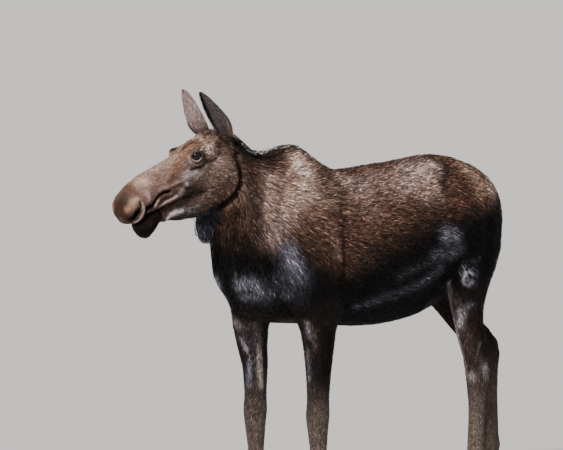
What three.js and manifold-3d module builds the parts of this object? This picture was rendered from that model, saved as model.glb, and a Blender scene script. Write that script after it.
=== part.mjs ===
// A cow moose that stands still, life size, in millimetres.
// +Z is up, the moose faces -Y and its left side is at +X.
// The flesh is lofted through named sections, joined, and parted into the pieces that a person would name.
import * as THREE from 'three';
import Module from 'manifold-3d';
import { mergeVertices } from 'three/addons/utils/BufferGeometryUtils.js';

const wasm = await Module();
wasm.setup();

// ---------- driving sizes ----------
const WITHERS = 1750;                           // top of the hump over the ground
const POLL = new THREE.Vector3(0, -432, 1843);  // top of the head between the ears
const HEAD_PITCH = 27;                          // degrees from level down to the axis of the head
const HEAD_YAW = -2;                            // degrees that the head turns to its left
const GAP = 0.5;                                // clear space between neighbouring pieces
const LEG_CUT = 915;                            // height at which the legs part from the trunk
const SHANK_CUT = { front: 500, hind: 590 };
const EYE_AT = [75, -207, -8];                  // left eye in the frame of the head
const EYE_RADIUS = 23;
const HEAD_BACK = { at: [0, -240, -95], radius: 285 };  // ball whose back parts the head from the neck
const CLAW_HEIGHT = 78;
const FOOT_AT = { front: 156, hind: 157 };       // middle of a foot to the side of the middle plane
const WELD = 0.02;                              // corners left closer than this by a cut become one
const LEG_CORNERS = 12;                         // corners of a level section of a leg or a claw
const LEG_SQUARENESS = 2.1;                     // 2 is an ellipse
const NECK_CUT = { at: [0, -262, 1440], size: [700, 900], turn: [66, 0, 0] };
const LEG_CUT_AT = { side: 160, size: [240, 380] };
const MOUTH_CUT = { at: [0, -200, -171], size: [400, 560], turn: [-10.2, 0, 0] };  // in the frame of the head
const EAR_CUT = { at: [90, -40, 8], size: [150, 190], turn: 22 };
const CLAW = { apart: 25, ahead: 42, inner: 20 };       // a claw's place in the foot, its inner half-width
const DEWCLAW = { apart: 22, behind: 26, height: 112, size: [13, 17, 27], turn: [-30, 0, 0] };
const SIDES = [['left', 1], ['right', -1]];

// ---------- finishes ----------
const finish = (color, roughness) => new THREE.MeshStandardMaterial({ color, roughness, metalness: 0 });
const COAT = finish(0x4a372c, 0.85);
const FACE_COAT = finish(0x6e5547, 0.85);
const DARK_COAT = finish(0x211a18, 0.8);
const LEG_COAT = finish(0x3b3230, 0.8);
const EAR_COAT = finish(0x57483f, 0.9);
const HORN = finish(0x2a2523, 0.5);
const EYE = finish(0x160d08, 0.08);

// ---------- curves and sections ----------
const rad = THREE.MathUtils.degToRad;
const signedPower = (value, power) => Math.sign(value) * Math.abs(value) ** power;

// A smooth curve through values given at rising or falling places.
function curve(places, values) {
  const last = places.length - 1;
  const slope = (i) => {
    const [a, b] = [Math.max(i - 1, 0), Math.min(i + 1, last)];
    return (values[b] - values[a]) / (places[b] - places[a]);
  };
  return (place) => {
    const rising = places[last] > places[0];
    let i = 0;
    while (i < last - 1 && (rising ? place > places[i + 1] : place < places[i + 1])) i++;
    const length = places[i + 1] - places[i];
    const t = THREE.MathUtils.clamp((place - places[i]) / length, 0, 1);
    return (2 * t ** 3 - 3 * t ** 2 + 1) * values[i] + (t ** 3 - 2 * t ** 2 + t) * slope(i) * length
      + (3 * t ** 2 - 2 * t ** 3) * values[i + 1] + (t ** 3 - t ** 2) * slope(i + 1) * length;
  };
}

// Adds stations between the named ones, so that no two are further apart than a given distance.
function fillStations(stations, apart, middle) {
  const places = [0];
  stations.slice(1).forEach((s, i) => places.push(places[i] + middle(s).distanceTo(middle(stations[i]))));
  const keys = Object.keys(stations[0]).filter((key) => typeof stations[0][key] === 'number');
  const curves = keys.map((key) => curve(places, stations.map((s) => s[key])));
  const at = (place) => Object.fromEntries(keys.map((key, k) => [key, curves[k](place)]));
  const filled = [];
  for (let i = 0; i < stations.length - 1; i++) {
    const steps = Math.ceil((places[i + 1] - places[i]) / apart);
    for (let s = 0; s < steps; s++) filled.push(at(places[i] + ((places[i + 1] - places[i]) * s) / steps));
  }
  filled.push(at(places[places.length - 1]));
  return filled;
}

// Joins rings of equal length into one closed body, with a flat fan at each end.
function loft(rings) {
  const count = rings[0].length;
  const positions = rings.flat().flatMap((point) => point.toArray());
  const index = [];
  for (let r = 0; r < rings.length - 1; r++) {
    for (let s = 0; s < count; s++) {
      const [a, b] = [r * count + s, r * count + ((s + 1) % count)];
      index.push(a, b, b + count, a, b + count, a + count);
    }
  }
  [[0, 1], [rings.length - 1, 0]].forEach(([r, first]) => {
    const centre = rings[r].reduce((sum, point) => sum.add(point), new THREE.Vector3()).divideScalar(count);
    const middle = positions.length / 3;
    positions.push(...centre.toArray());
    for (let s = 0; s < count; s++) {
      const pair = [r * count + s, r * count + ((s + 1) % count)];
      index.push(middle, pair[first], pair[1 - first]);
    }
  });
  const geometry = new THREE.BufferGeometry();
  geometry.setAttribute('position', new THREE.Float32BufferAttribute(positions, 3));
  geometry.setIndex(index);
  return geometry;
}

// A ring that is widest at its centre, with a reach and a squareness of its own to either side of that.
function ring(centre, across, along, { half, ahead, behind, squareAhead, squareBehind }, count) {
  return Array.from({ length: count }, (_, s) => {
    const angle = (s / count) * 2 * Math.PI;
    const [reach, square] = Math.sin(angle) > 0 ? [ahead, squareAhead] : [behind, squareBehind];
    return centre.clone()
      .addScaledVector(across, half * signedPower(Math.cos(angle), 2 / square))
      .addScaledVector(along, reach * signedPower(Math.sin(angle), 2 / square));
  });
}

// A section in the middle plane from an upper to a lower point.
// Its level is how far up it is widest, from 0 to 1.
const section = (name, topY, topZ, lowY, lowZ, half, level, squareTop = 2, squareLow = 2) =>
  ({ name, topY, topZ, lowY, lowZ, half, level, squareTop, squareLow });

function sagittalLoft(stations, count, apart) {
  const middle = (s) => new THREE.Vector3(0, (s.topY + s.lowY) / 2, (s.topZ + s.lowZ) / 2);
  return loft(fillStations(stations, apart, middle).map((s) => {
    const low = new THREE.Vector3(0, s.lowY, s.lowZ);
    const up = new THREE.Vector3(0, s.topY, s.topZ).sub(low);
    const height = up.length();
    up.normalize();
    return ring(low.addScaledVector(up, height * s.level), new THREE.Vector3(1, 0, 0), up, {
      half: s.half, ahead: height * (1 - s.level), behind: height * s.level,
      squareAhead: s.squareTop, squareBehind: s.squareLow,
    }, count);
  }));
}

// A level section of a leg: how far it reaches ahead of and behind the line of the leg,
// its place across and its half-width.
const level = (name, z, ahead, behind, x, half) => ({ name, z, ahead, behind, x, half });

// A leg follows a line of heights and places along Y.
// A sloping stretch is as thick across its slope as an upright one.
const along = (line) => curve(line.map(([z]) => z), line.map(([, y]) => y));

function legLoft(levels, line, side) {
  const lineAt = along(line);
  const filled = fillStations(levels, 110, (s) => new THREE.Vector3(s.x, 0, s.z));
  return loft(filled.map((s) => {
    const slope = (lineAt(s.z + 10) - lineAt(s.z - 10)) / 20;
    const stretch = Math.hypot(1, slope);
    const [ahead, behind] = [s.ahead * stretch, s.behind * stretch];
    const centre = new THREE.Vector3(side * s.x, lineAt(s.z) + (behind - ahead) / 2, s.z);
    return ring(centre, new THREE.Vector3(1, 0, 0), new THREE.Vector3(0, 1, 0), {
      half: s.half,
      ahead: (ahead + behind) / 2,
      behind: (ahead + behind) / 2,
      squareAhead: LEG_SQUARENESS,
      squareBehind: LEG_SQUARENESS,
    }, LEG_CORNERS);
  }));
}

// ---------- solids ----------
function manifold(geometry, flip) {
  const triVerts = Uint32Array.from(geometry.index.array);
  for (let i = 1; flip && i < triVerts.length; i += 3) {
    [triVerts[i], triVerts[i + 1]] = [triVerts[i + 1], triVerts[i]];
  }
  const vertProperties = new Float32Array(geometry.attributes.position.array);
  return new wasm.Manifold(new wasm.Mesh({ numProp: 3, vertProperties, triVerts }));
}

function solid(geometry) {
  const bare = geometry.clone();
  bare.deleteAttribute('normal');
  bare.deleteAttribute('uv');
  const merged = mergeVertices(bare, 1e-3);
  const made = manifold(merged, false);
  return made.volume() > 0 ? made : manifold(merged, true);
}

const join = (...solids) => solids.reduce((whole, next) => whole.add(next));
const moved = (made, matrix) => made.transform(matrix.elements);
const both = (make) => SIDES.map(([, side]) => make(side));

function placement([x, y, z], turn = [0, 0, 0], size = [1, 1, 1]) {
  const turned = new THREE.Quaternion().setFromEuler(new THREE.Euler(...turn.map(rad)));
  return new THREE.Matrix4().compose(new THREE.Vector3(x, y, z), turned, new THREE.Vector3(...size));
}

const ball = (at, size, turn, around = 10) =>
  solid(new THREE.SphereGeometry(1, around, Math.ceil(around * 0.6)).applyMatrix4(placement(at, turn, size)));
const slab = (at, [width, depth], turn) =>
  solid(new THREE.BoxGeometry(width, depth, GAP).applyMatrix4(placement(at, turn)));

// What is left of a piece beside its neighbour, with clear space between them all round.
function clearOf(piece, neighbour) {
  const away = [[1, 0, 0], [-1, 0, 0], [0, 1, 0], [0, -1, 0], [0, 0, 1], [0, 0, -1]];
  return largest(away.reduce((left, d) => left.subtract(neighbour.translate(d.map((v) => v * GAP))), piece));
}

const largest = (made) => made.decompose().sort((a, b) => b.volume() - a.volume())[0];

// ---------- trunk and neck ----------
const BODY = [
  section('rump end', 1228, 1400, 1232, 1310, 44, 0.5),
  section('tail head', 1204, 1468, 1214, 1220, 94, 0.5),
  section('buttock', 1160, 1528, 1172, 1125, 154, 0.52, 2.1, 2.1),
  section('pin bones', 1082, 1578, 1106, 1045, 202, 0.55, 2.0, 2.2),
  section('hip', 965, 1620, 990, 1000, 232, 0.6, 1.9, 2.2),
  section('croup', 830, 1639, 850, 962, 248, 0.58, 1.8, 2.2),
  section('loin', 660, 1627, 680, 910, 262, 0.5, 1.9, 2.2),
  section('belly', 470, 1617, 480, 894, 275, 0.46, 2.0, 2.2),
  section('ribs', 310, 1611, 320, 902, 269, 0.45, 1.95, 2.2),
  section('behind hump', 232, 1618, 242, 912, 256, 0.44, 1.85, 2.15),
  section('girth', 165, 1654, 180, 922, 243, 0.43, 1.75, 2.1),
  section('hump', 20, WITHERS, 20, 938, 214, 0.42, 1.6),
  section('hump front', -70, 1746, -140, 956, 196, 0.42, 1.6),
  section('shoulder point', -140, 1731, -290, 1008, 184, 0.42, 1.7),
  section('breast', -200, 1729, -366, 1106, 166, 0.44, 1.75),
  section('neck root', -255, 1752, -397, 1215, 148, 0.46, 1.8),
  section('neck', -310, 1798, -404, 1312, 132, 0.48, 1.9),
  section('throat', -360, 1832, -408, 1388, 122, 0.5, 2.0, 1.9),
  section('nape', -425, 1838, -432, 1440, 108, 0.52, 2.0, 1.9),
  section('inside head', -492, 1790, -500, 1530, 70, 0.5),
];

// ---------- legs ----------
const FRONT_LEG = [
  level('shoulder blade top', 1590, 30, 90, 84, 28),
  level('shoulder blade', 1430, 140, 165, 124, 62),
  level('shoulder', 1280, 222, 190, 136, 74),
  level('point of shoulder', 1175, 240, 190, 142, 80),
  level('upper arm', 1080, 192, 180, 150, 78),
  level('elbow', 1000, 124, 138, 160, 68),
  level('forearm top', 920, 94, 86, 160, 61),
  level('forearm', 830, 77, 72, 158, 55),
  level('forearm end', 740, 62, 61, 157, 50),
  level('above knee', 610, 53, 50, 156, 46),
  level('knee', 535, 60, 52, 156, 49),
  level('below knee', 465, 49, 44, 156, 42),
  level('cannon', 370, 36, 38, 156, 34),
  level('above fetlock', 285, 37, 42, 156, 36),
  level('fetlock', 232, 46, 50, 156, 44),
  level('pastern', 165, 66, 28, 156, 43),
  level('coronet', 100, 90, 16, 156, 48),
  level('claw top', CLAW_HEIGHT, 94, 14, 156, 49),
];
const FRONT_LINE = {
  left: [[1600, 0], [1180, 0], [900, 33], [700, 31], [70, 31]],
  right: [[1600, 0], [1180, -10], [920, -86], [740, -66], [70, -66]],
};

const HIND_LEG = [
  level('thigh top', 1540, 60, 60, 92, 40),
  level('hip', 1430, 150, 135, 128, 78),
  level('thigh', 1310, 182, 168, 148, 86),
  level('buttock', 1210, 176, 174, 154, 90),
  level('stifle top', 1120, 150, 152, 162, 90),
  level('stifle', 1035, 112, 112, 170, 84),
  level('gaskin top', 950, 80, 84, 172, 69),
  level('gaskin', 860, 69, 70, 172, 56),
  level('gaskin end', 780, 67, 76, 168, 48),
  level('point of hock', 715, 69, 86, 165, 46),
  level('hock', 655, 67, 78, 163, 47),
  level('below hock', 590, 55, 52, 160, 41),
  level('cannon top', 500, 40, 40, 158, 35),
  level('cannon', 380, 36, 37, 157, 34),
  level('above fetlock', 285, 38, 41, 157, 35),
  level('fetlock', 230, 47, 49, 157, 43),
  level('pastern', 165, 64, 30, 157, 42),
  level('coronet', 100, 85, 20, 157, 47),
  level('claw top', CLAW_HEIGHT, 89, 18, 157, 48),
];
const HIND_LINE = {
  left: [[1550, 985], [1350, 985], [1030, 925], [860, 938], [700, 997], [500, 1003], [70, 985]],
  right: [[1550, 985], [1350, 985], [1030, 1052], [860, 1187], [700, 1336], [560, 1380], [70, 1392]],
};

// One claw of a cloven hoof: a flat sole, a long sloping front wall, a round heel
// and a nearly flat inner side.
function claw(x, y, side, out) {
  const levels = [
    { z: 0, toe: 98, heel: 46, outer: 27 },
    { z: 16, toe: 94, heel: 48, outer: 28 },
    { z: 48, toe: 74, heel: 48, outer: 26 },
    { z: CLAW_HEIGHT - GAP, toe: 52, heel: 44, outer: 22 },
  ];
  return solid(loft(levels.map(({ z, toe, heel, outer }) => Array.from({ length: LEG_CORNERS }, (_, s) => {
    const angle = (s / LEG_CORNERS) * 2 * Math.PI;
    const [forward, across] = [Math.cos(angle), Math.sin(angle)];
    const narrowing = 1 - 0.3 * Math.max(forward, 0);
    const wide = (across > 0 ? outer : CLAW.inner) * signedPower(across, 0.8) * narrowing;
    const reach = (forward > 0 ? toe : heel) * forward;
    return new THREE.Vector3(x + side * out * (CLAW.apart + wide), y - CLAW.ahead - reach, z);
  }))));
}

function dewclaw(x, y, side, out) {
  const { apart, behind, height, size, turn } = DEWCLAW;
  return ball([x + side * out * apart, y + behind, height], size, turn, 7);
}

// ---------- head ----------
// Its own frame has the poll at the origin, -Y along the head and +Z over the forehead.
const HEAD = [
  section('back of skull', 28, -50, 12, -190, 60, 0.55),
  section('poll', 0, 4, -20, -240, 92, 0.62, 2.3),
  section('behind ears', -60, 18, -66, -262, 104, 0.66, 2.6, 1.9),
  section('temple', -120, 24, -126, -270, 98, 0.66, 2.4, 1.9),
  section('brow', -185, 26, -190, -262, 92, 0.67, 2.3, 1.8),
  section('eye', -235, 22, -240, -250, 83, 0.66, 2.3, 1.8),
  section('below eye', -290, 22, -294, -228, 79, 0.66, 2.3, 1.8),
  section('face', -350, 28, -352, -196, 76, 0.64, 2.5, 1.9),
  section('nose bridge', -415, 38, -412, -152, 70, 0.56, 2.3),
  section('nose rise', -480, 46, -476, -118, 71, 0.5, 2.2, 2.2),
  section('nose', -540, 38, -536, -112, 77, 0.44, 2.3, 2.5),
  section('nostrils', -588, 19, -586, -114, 80, 0.42, 2.3, 2.6),
  section('muzzle', -617, -6, -616, -110, 73, 0.44, 2.4, 2.6),
  section('muzzle front', -635, -26, -636, -102, 51, 0.46, 2.3, 2.2),
  section('muzzle end', -645, -48, -646, -86, 24, 0.5),
];

const LOWER_JAW = [
  section('jaw hinge', -40, -150, -50, -240, 60, 0.5),
  section('jaw angle', -90, -150, -95, -282, 84, 0.5),
  section('jaw cheek', -190, -140, -195, -294, 80, 0.5),
  section('jaw body', -290, -130, -292, -280, 62, 0.42),
  section('jaw bar', -370, -122, -374, -246, 48, 0.42),
  section('jaw neck', -430, -112, -434, -206, 40, 0.45),
  section('jaw notch', -470, -123, -474, -190, 37, 0.5, 2.3),
  section('chin back', -512, -120, -518, -212, 41, 0.56, 2.5),
  section('chin', -556, -118, -562, -222, 43, 0.56, 2.6),
  section('lip', -582, -119, -586, -204, 35, 0.58, 2.5),
  section('lip end', -596, -124, -598, -172, 18, 0.5),
];

// An ear: a leaf rolled into a cup that opens to +X, wide low down and pointed at the top.
function ear() {
  const [length, widest, back, arcs] = [262, 45, 30, 5];
  const wall = curve([0, 0.12, 0.3, 1], [26, 20, 8, 7]);
  const breadth = curve([0, 0.14, 0.36, 0.62, 0.84, 0.95, 1], [26, 37, widest, 39, 25, 13, 6]);
  const roll = curve([0, 0.2, 0.5, 1], [250, 215, 150, 60]);
  const shares = [0, 0.09, 0.2, 0.32, 0.46, 0.6, 0.74, 0.87, 0.95, 1];
  return loft(shares.map((share) => {
    const half = breadth(share);
    const halfRoll = rad(roll(share)) / 2;
    const radius = half / (halfRoll > Math.PI / 2 ? 1 : Math.sin(halfRoll));
    const rim = (inset) => Array.from({ length: arcs + 1 }, (_, a) => {
      const angle = halfRoll * ((2 * a) / arcs - 1);
      const reach = radius - inset;
      const depth = radius - back - reach * Math.cos(angle);
      return new THREE.Vector3(depth, reach * Math.sin(angle), length * share);
    });
    return [...rim(0), ...rim(Math.min(wall(share), half * 0.7)).reverse()];
  }));
}

const earPlace = {
  left: placement([88, -22, -36], [5.5, -1.2, 0]),
  right: new THREE.Matrix4().makeScale(-1, 1, 1).multiply(placement([76, -18, -34], [6.5, 2.6, 0])),
};
const headPlace = placement(POLL.toArray(), [0, 0, HEAD_YAW])
  .multiply(placement([0, 0, 0], [HEAD_PITCH, 0, 0]));
const bodyPlace = headPlace.clone().invert();

// ---------- joined flesh ----------
const body = solid(sagittalLoft(BODY, 22, 130));
const bodyByHead = moved(body, bodyPlace);
const headBack = (radius) => ball(HEAD_BACK.at, [radius, radius, radius], [90, 0, 0], 18);

const wholeHead = join(
  solid(sagittalLoft(HEAD, 20, 75)),
  solid(sagittalLoft(LOWER_JAW, 12, 90)),
  ...both((side) => ball([side * 60, -186, -13], [31, 54, 26], [0, 0, side * 12])),
  ...both((side) => ball([side * 48, -128, -165], [46, 104, 106], [-18, 0, 0])),
  bodyByHead.intersect(headBack(HEAD_BACK.radius)),
  ...Object.values(earPlace).map((place) => solid(ear().applyMatrix4(place))),
);
const eyeAt = (side) => [side * EYE_AT[0], EYE_AT[1], EYE_AT[2]];
const eyeBall = (side, radius) => ball(eyeAt(side), [radius, radius, radius], [0, 0, 0], 12);
const hollows = join(
  ...both((side) => eyeBall(side, EYE_RADIUS + GAP)),
  ...both((side) => ball([side * 83, -607, -56], [19, 13, 40], [-50, 0, side * 10])),
);
const cutEar = (side) => {
  const [x, y, z] = EAR_CUT.at;
  return slab([side * x, y, z], EAR_CUT.size, [0, side * EAR_CUT.turn, 0]);
};
const headCuts = join(slab(MOUTH_CUT.at, MOUTH_CUT.size, MOUTH_CUT.turn), ...both(cutEar));
const headPieces = wholeHead.subtract(hollows).subtract(headCuts).decompose();
const headInBody = moved(wholeHead, headPlace);

const legs = Object.fromEntries(SIDES.map(([name, side]) => [name, {
  front: solid(legLoft(FRONT_LEG, FRONT_LINE[name], side)),
  hind: solid(legLoft(HIND_LEG, HIND_LINE[name], side)),
}]));
const LINES = { front: FRONT_LINE, hind: HIND_LINE };
const neckCut = slab(NECK_CUT.at, NECK_CUT.size, NECK_CUT.turn);
const cutLeg = (end, name, side) => [LEG_CUT, SHANK_CUT[end]].map((z) =>
  slab([side * LEG_CUT_AT.side, along(LINES[end][name])(z), z], LEG_CUT_AT.size));
const legCuts = SIDES.flatMap(([name, side]) => Object.keys(LINES).flatMap((end) => cutLeg(end, name, side)));
const trunkAndLegs = join(
  body.subtract(moved(headBack(HEAD_BACK.radius + GAP), headPlace)),
  ...Object.values(legs).flatMap(({ front, hind }) => [front, hind]),
).subtract(join(neckCut, ...legCuts));

// ---------- scene graph ----------
function mesh(name, made, material) {
  const { vertProperties, triVerts } = made.getMesh();
  const geometry = new THREE.BufferGeometry();
  geometry.setAttribute('position', new THREE.Float32BufferAttribute(vertProperties, 3));
  geometry.setIndex(new THREE.BufferAttribute(new Uint32Array(triVerts), 1));
  const tidy = mergeVertices(geometry, WELD);
  const corners = Array.from(tidy.index.array);
  const faces = corners.flatMap((a, i) => (i % 3 ? [] : [[a, corners[i + 1], corners[i + 2]]]));
  tidy.setIndex(faces.filter(([a, b, c]) => a !== b && b !== c && c !== a).flat());
  tidy.computeVertexNormals();
  const piece = new THREE.Mesh(tidy, material);
  piece.name = name;
  return piece;
}

const head = new THREE.Group();
head.applyMatrix4(headPlace);
for (const [name, side] of SIDES) head.add(mesh(`eye_${name}`, eyeBall(side, EYE_RADIUS), EYE));
for (const piece of headPieces) {
  const { min, max } = piece.boundingBox();
  if (min[2] > -60) head.add(mesh(`ear_${max[0] + min[0] > 0 ? 'left' : 'right'}`, piece, EAR_COAT));
  else head.add(mesh(max[2] > 0 ? 'head' : 'lower_jaw', piece, FACE_COAT));
}

const feet = new THREE.Group();
for (const [name, side] of SIDES) {
  for (const [end, line] of Object.entries(LINES)) {
    const [x, y] = [side * FOOT_AT[end], line[name][line[name].length - 1][1]];
    for (const [place, out] of [['outer', 1], ['inner', -1]]) {
      feet.add(mesh(`${end}_claw_${name}_${place}`, claw(x, y, side, out), HORN));
      const spur = clearOf(dewclaw(x, y, side, out), legs[name][end]);
      feet.add(mesh(`${end}_dewclaw_${name}_${place}`, spur, HORN));
    }
  }
}

const bell = join(
  ball([2, -512, 1416], [24, 52, 78], [16, 0, 0], 12),
  ball([2, -470, 1466], [21, 60, 30], [-20, 0, 0], 12),
);
const tail = ball([0, 1236, 1425], [40, 26, 68], [18, 0, 0], 12);

const moose = new THREE.Group();
moose.add(head, feet);
moose.add(mesh('bell', clearOf(clearOf(bell, headInBody), body), DARK_COAT));
moose.add(mesh('tail', clearOf(tail, body), DARK_COAT));

for (const piece of trunkAndLegs.decompose()) {
  const { min, max } = piece.boundingBox();
  const [x, y] = min.map((low, i) => (low + max[i]) / 2);
  const where = y < 500 ? 'front' : 'hind';
  const whose = x > 0 ? 'left' : 'right';
  if (min[2] > 1100) moose.add(mesh('neck', piece, COAT));
  else if (max[2] > 1600) moose.add(mesh('trunk', piece, COAT));
  else if (min[2] > 400) moose.add(mesh(`${where}_leg_${whose}`, piece, LEG_COAT));
  else moose.add(mesh(`${where}_shank_${whose}`, piece, DARK_COAT));
}

// The origin is on the ground, in the middle of the whole outline.
moose.updateMatrixWorld(true);
const outline = new THREE.Box3().setFromObject(moose, true);
const middle = outline.getCenter(new THREE.Vector3());
moose.position.set(-middle.x, -middle.y, -outline.min.z);

export default moose;
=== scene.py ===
"""A grown cow moose, life size and standing still: one hide, a coat of tufts over it, eyes and hooves.

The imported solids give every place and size. The solids of flesh are melted into one hide that lies
inside them by the depth of the coat, and tufts rooted in the hide fill that depth.
"""

import itertools
import logging
import math
from collections.abc import Iterable
from dataclasses import dataclass
from enum import Enum

import bmesh
import bpy
import numpy as np
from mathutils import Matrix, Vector
from mathutils.bvhtree import BVHTree


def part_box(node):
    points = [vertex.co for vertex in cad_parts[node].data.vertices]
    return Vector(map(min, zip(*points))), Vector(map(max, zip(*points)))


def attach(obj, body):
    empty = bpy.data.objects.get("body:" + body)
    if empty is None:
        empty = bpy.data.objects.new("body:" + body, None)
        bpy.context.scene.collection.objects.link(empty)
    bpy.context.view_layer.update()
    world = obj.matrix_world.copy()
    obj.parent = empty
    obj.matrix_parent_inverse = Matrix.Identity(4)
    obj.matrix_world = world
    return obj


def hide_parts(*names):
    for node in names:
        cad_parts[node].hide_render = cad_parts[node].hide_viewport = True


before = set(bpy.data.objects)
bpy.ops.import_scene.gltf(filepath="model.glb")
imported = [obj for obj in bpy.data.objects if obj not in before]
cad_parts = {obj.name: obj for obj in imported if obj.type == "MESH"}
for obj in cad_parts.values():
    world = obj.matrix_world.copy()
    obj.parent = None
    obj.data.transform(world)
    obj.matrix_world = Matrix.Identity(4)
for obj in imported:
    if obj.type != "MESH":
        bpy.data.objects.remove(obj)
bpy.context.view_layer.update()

LOG = logging.getLogger("moose")
BODY = "root"
COAT_COLOUR = "coat_colour"
BAKE_MAP = "OFBake"
SEED = 20


# ---------------------------------------------------------------- places


class Side(Enum):
    """A side of the animal, as the sign of X there."""

    LEFT = 1
    RIGHT = -1


def unit(vectors: np.ndarray) -> np.ndarray:
    """Returns the vectors at length one."""
    return vectors / (np.linalg.norm(vectors, axis=-1, keepdims=True) + 1e-12)


def ease(low: float, high: float, values: np.ndarray) -> np.ndarray:
    """Returns 0 below low, 1 above high and a smooth rise between them."""
    share = np.clip((values - low) / (high - low), 0, 1)
    return share * share * (3 - 2 * share)


def bell(off: np.ndarray, width: float) -> np.ndarray:
    """Returns 1 where off is nothing, falling away softly over a width to either side."""
    return np.exp(-((off / width) ** 2))


def mixed(base: np.ndarray, over: np.ndarray, share: np.ndarray) -> np.ndarray:
    """Returns colours with others laid over them, each to its own share."""
    return base + (over - base) * share[:, None]


def box_centre(node: str) -> np.ndarray:
    """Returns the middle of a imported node's box."""
    low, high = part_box(node)
    return (np.array(low) + np.array(high)) / 2


@dataclass(frozen=True)
class Axes:
    """A frame of its own for a part of the body: the columns of turn are its axes."""

    origin: np.ndarray
    turn: np.ndarray

    def local(self, points: np.ndarray) -> np.ndarray:
        """Returns points in this frame."""
        return (points - self.origin) @ self.turn

    def placed(self, points: np.ndarray) -> np.ndarray:
        """Returns points of this frame in the row's frame."""
        return points @ self.turn.T + self.origin

    def turned(self, directions: np.ndarray) -> np.ndarray:
        """Returns directions of this frame in the row's frame."""
        return directions @ self.turn.T

    def direction(self, *direction: float) -> tuple[float, ...]:
        """Returns one direction of this frame in the row's frame."""
        return tuple(self.turned(np.array(direction)))


# where the middle between the eyes lies in the head's own frame, and how the head is held
EYES_FROM_POLL = (0.0, -0.207, -0.008)
HEAD_PITCH = math.radians(27)
HEAD_YAW = math.radians(-2)


def head_axes() -> Axes:
    """Works out the head's own frame from the two eyes.

    Returns:
        Axes at the poll: X to the animal's left, -Y along the face, Z out of the forehead.
    """
    cp, sp, cy, sy = math.cos(HEAD_PITCH), math.sin(HEAD_PITCH), math.cos(HEAD_YAW), math.sin(HEAD_YAW)
    nod = np.array([[1, 0, 0], [0, cp, -sp], [0, sp, cp]])
    swing = np.array([[cy, -sy, 0], [sy, cy, 0], [0, 0, 1]])
    turn = swing @ nod
    middle = (box_centre("eye_left") + box_centre("eye_right")) / 2
    return Axes(middle - turn @ np.array(EYES_FROM_POLL), turn)


HEAD = head_axes()
ROW = Axes(np.zeros(3), np.eye(3))


# where the head ends, in its own frame: at the rear and below
HEAD_REAR, HEAD_LOW = 0.02, -0.31


def in_head(places: np.ndarray) -> np.ndarray:
    """Returns which points, given in the head's own frame, belong to the head."""
    return (places[:, 1] < HEAD_REAR) & (places[:, 2] > HEAD_LOW)


def head_share(places: np.ndarray, rear: tuple[float, float], low: tuple[float, float]) -> np.ndarray:
    """Returns how much points, given in the head's own frame, belong to the head.

    Args:
        places: The points.
        rear: Between which two places along the face the share falls from 1 to 0.
        low: Between which two heights it rises from 0 to 1.

    Returns:
        A share from 0 to 1 for each point.
    """
    return (1 - ease(*rear, places[:, 1])) * ease(*low, places[:, 2])


@dataclass(frozen=True)
class EyePlace:
    """Where an eye lies and how its lids open. Creases, rolls and ends are given as openness."""

    side: Side
    radius: float = 0.0240
    sunk: float = 0.0020
    half_length: float = 0.0208
    half_above: float = 0.0178
    half_below: float = 0.0175
    lid_thickness: float = 0.0028
    lid_flat: float = 0.0115
    lids_end: tuple[float, float] = (1.20, 1.90)
    creases: tuple[float, float] = (1.42, 1.36)
    crease_width: float = 0.09
    crease_depth: float = 0.0022
    roll: float = 0.0016
    roll_beyond_crease: float = 0.22
    roll_width: float = 0.12
    hollow: float = 0.35

    def axes(self) -> Axes:
        """Returns the eye's own frame: X along the lids to the rear corner, Y up, Z out of the head."""
        sign = self.side.value
        outward = unit(np.array([0.90 * sign, -0.36, 0.14]))
        along = np.array([0.0, 0.92, -0.39])
        along = unit(along - outward * (along @ outward))
        upward = np.cross(outward, along) * sign
        turn = HEAD.turn @ np.stack([along, upward, outward], axis=1)
        centre = box_centre(f"eye_{self.side.name.lower()}") - turn[:, 2] * self.sunk
        return Axes(centre, turn)

    def openness(self, places: np.ndarray) -> np.ndarray:
        """Returns how far points lie from the middle of the opening: 1 on the edge of the lids."""
        tall = np.where(places[:, 1] > 0, self.half_above, self.half_below)
        reach = (np.abs(places[:, 0]) / self.half_length) ** 1.7 + (np.abs(places[:, 1]) / tall) ** 1.7
        return reach ** (1 / 1.7)


EYES = (EyePlace(Side.LEFT), EyePlace(Side.RIGHT))


# ---------------------------------------------------------------- surfaces


# how far a point moves towards its neighbours' middle, first in and then back out
PULL_IN, PUSH_OUT = 0.6, -0.62


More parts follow.
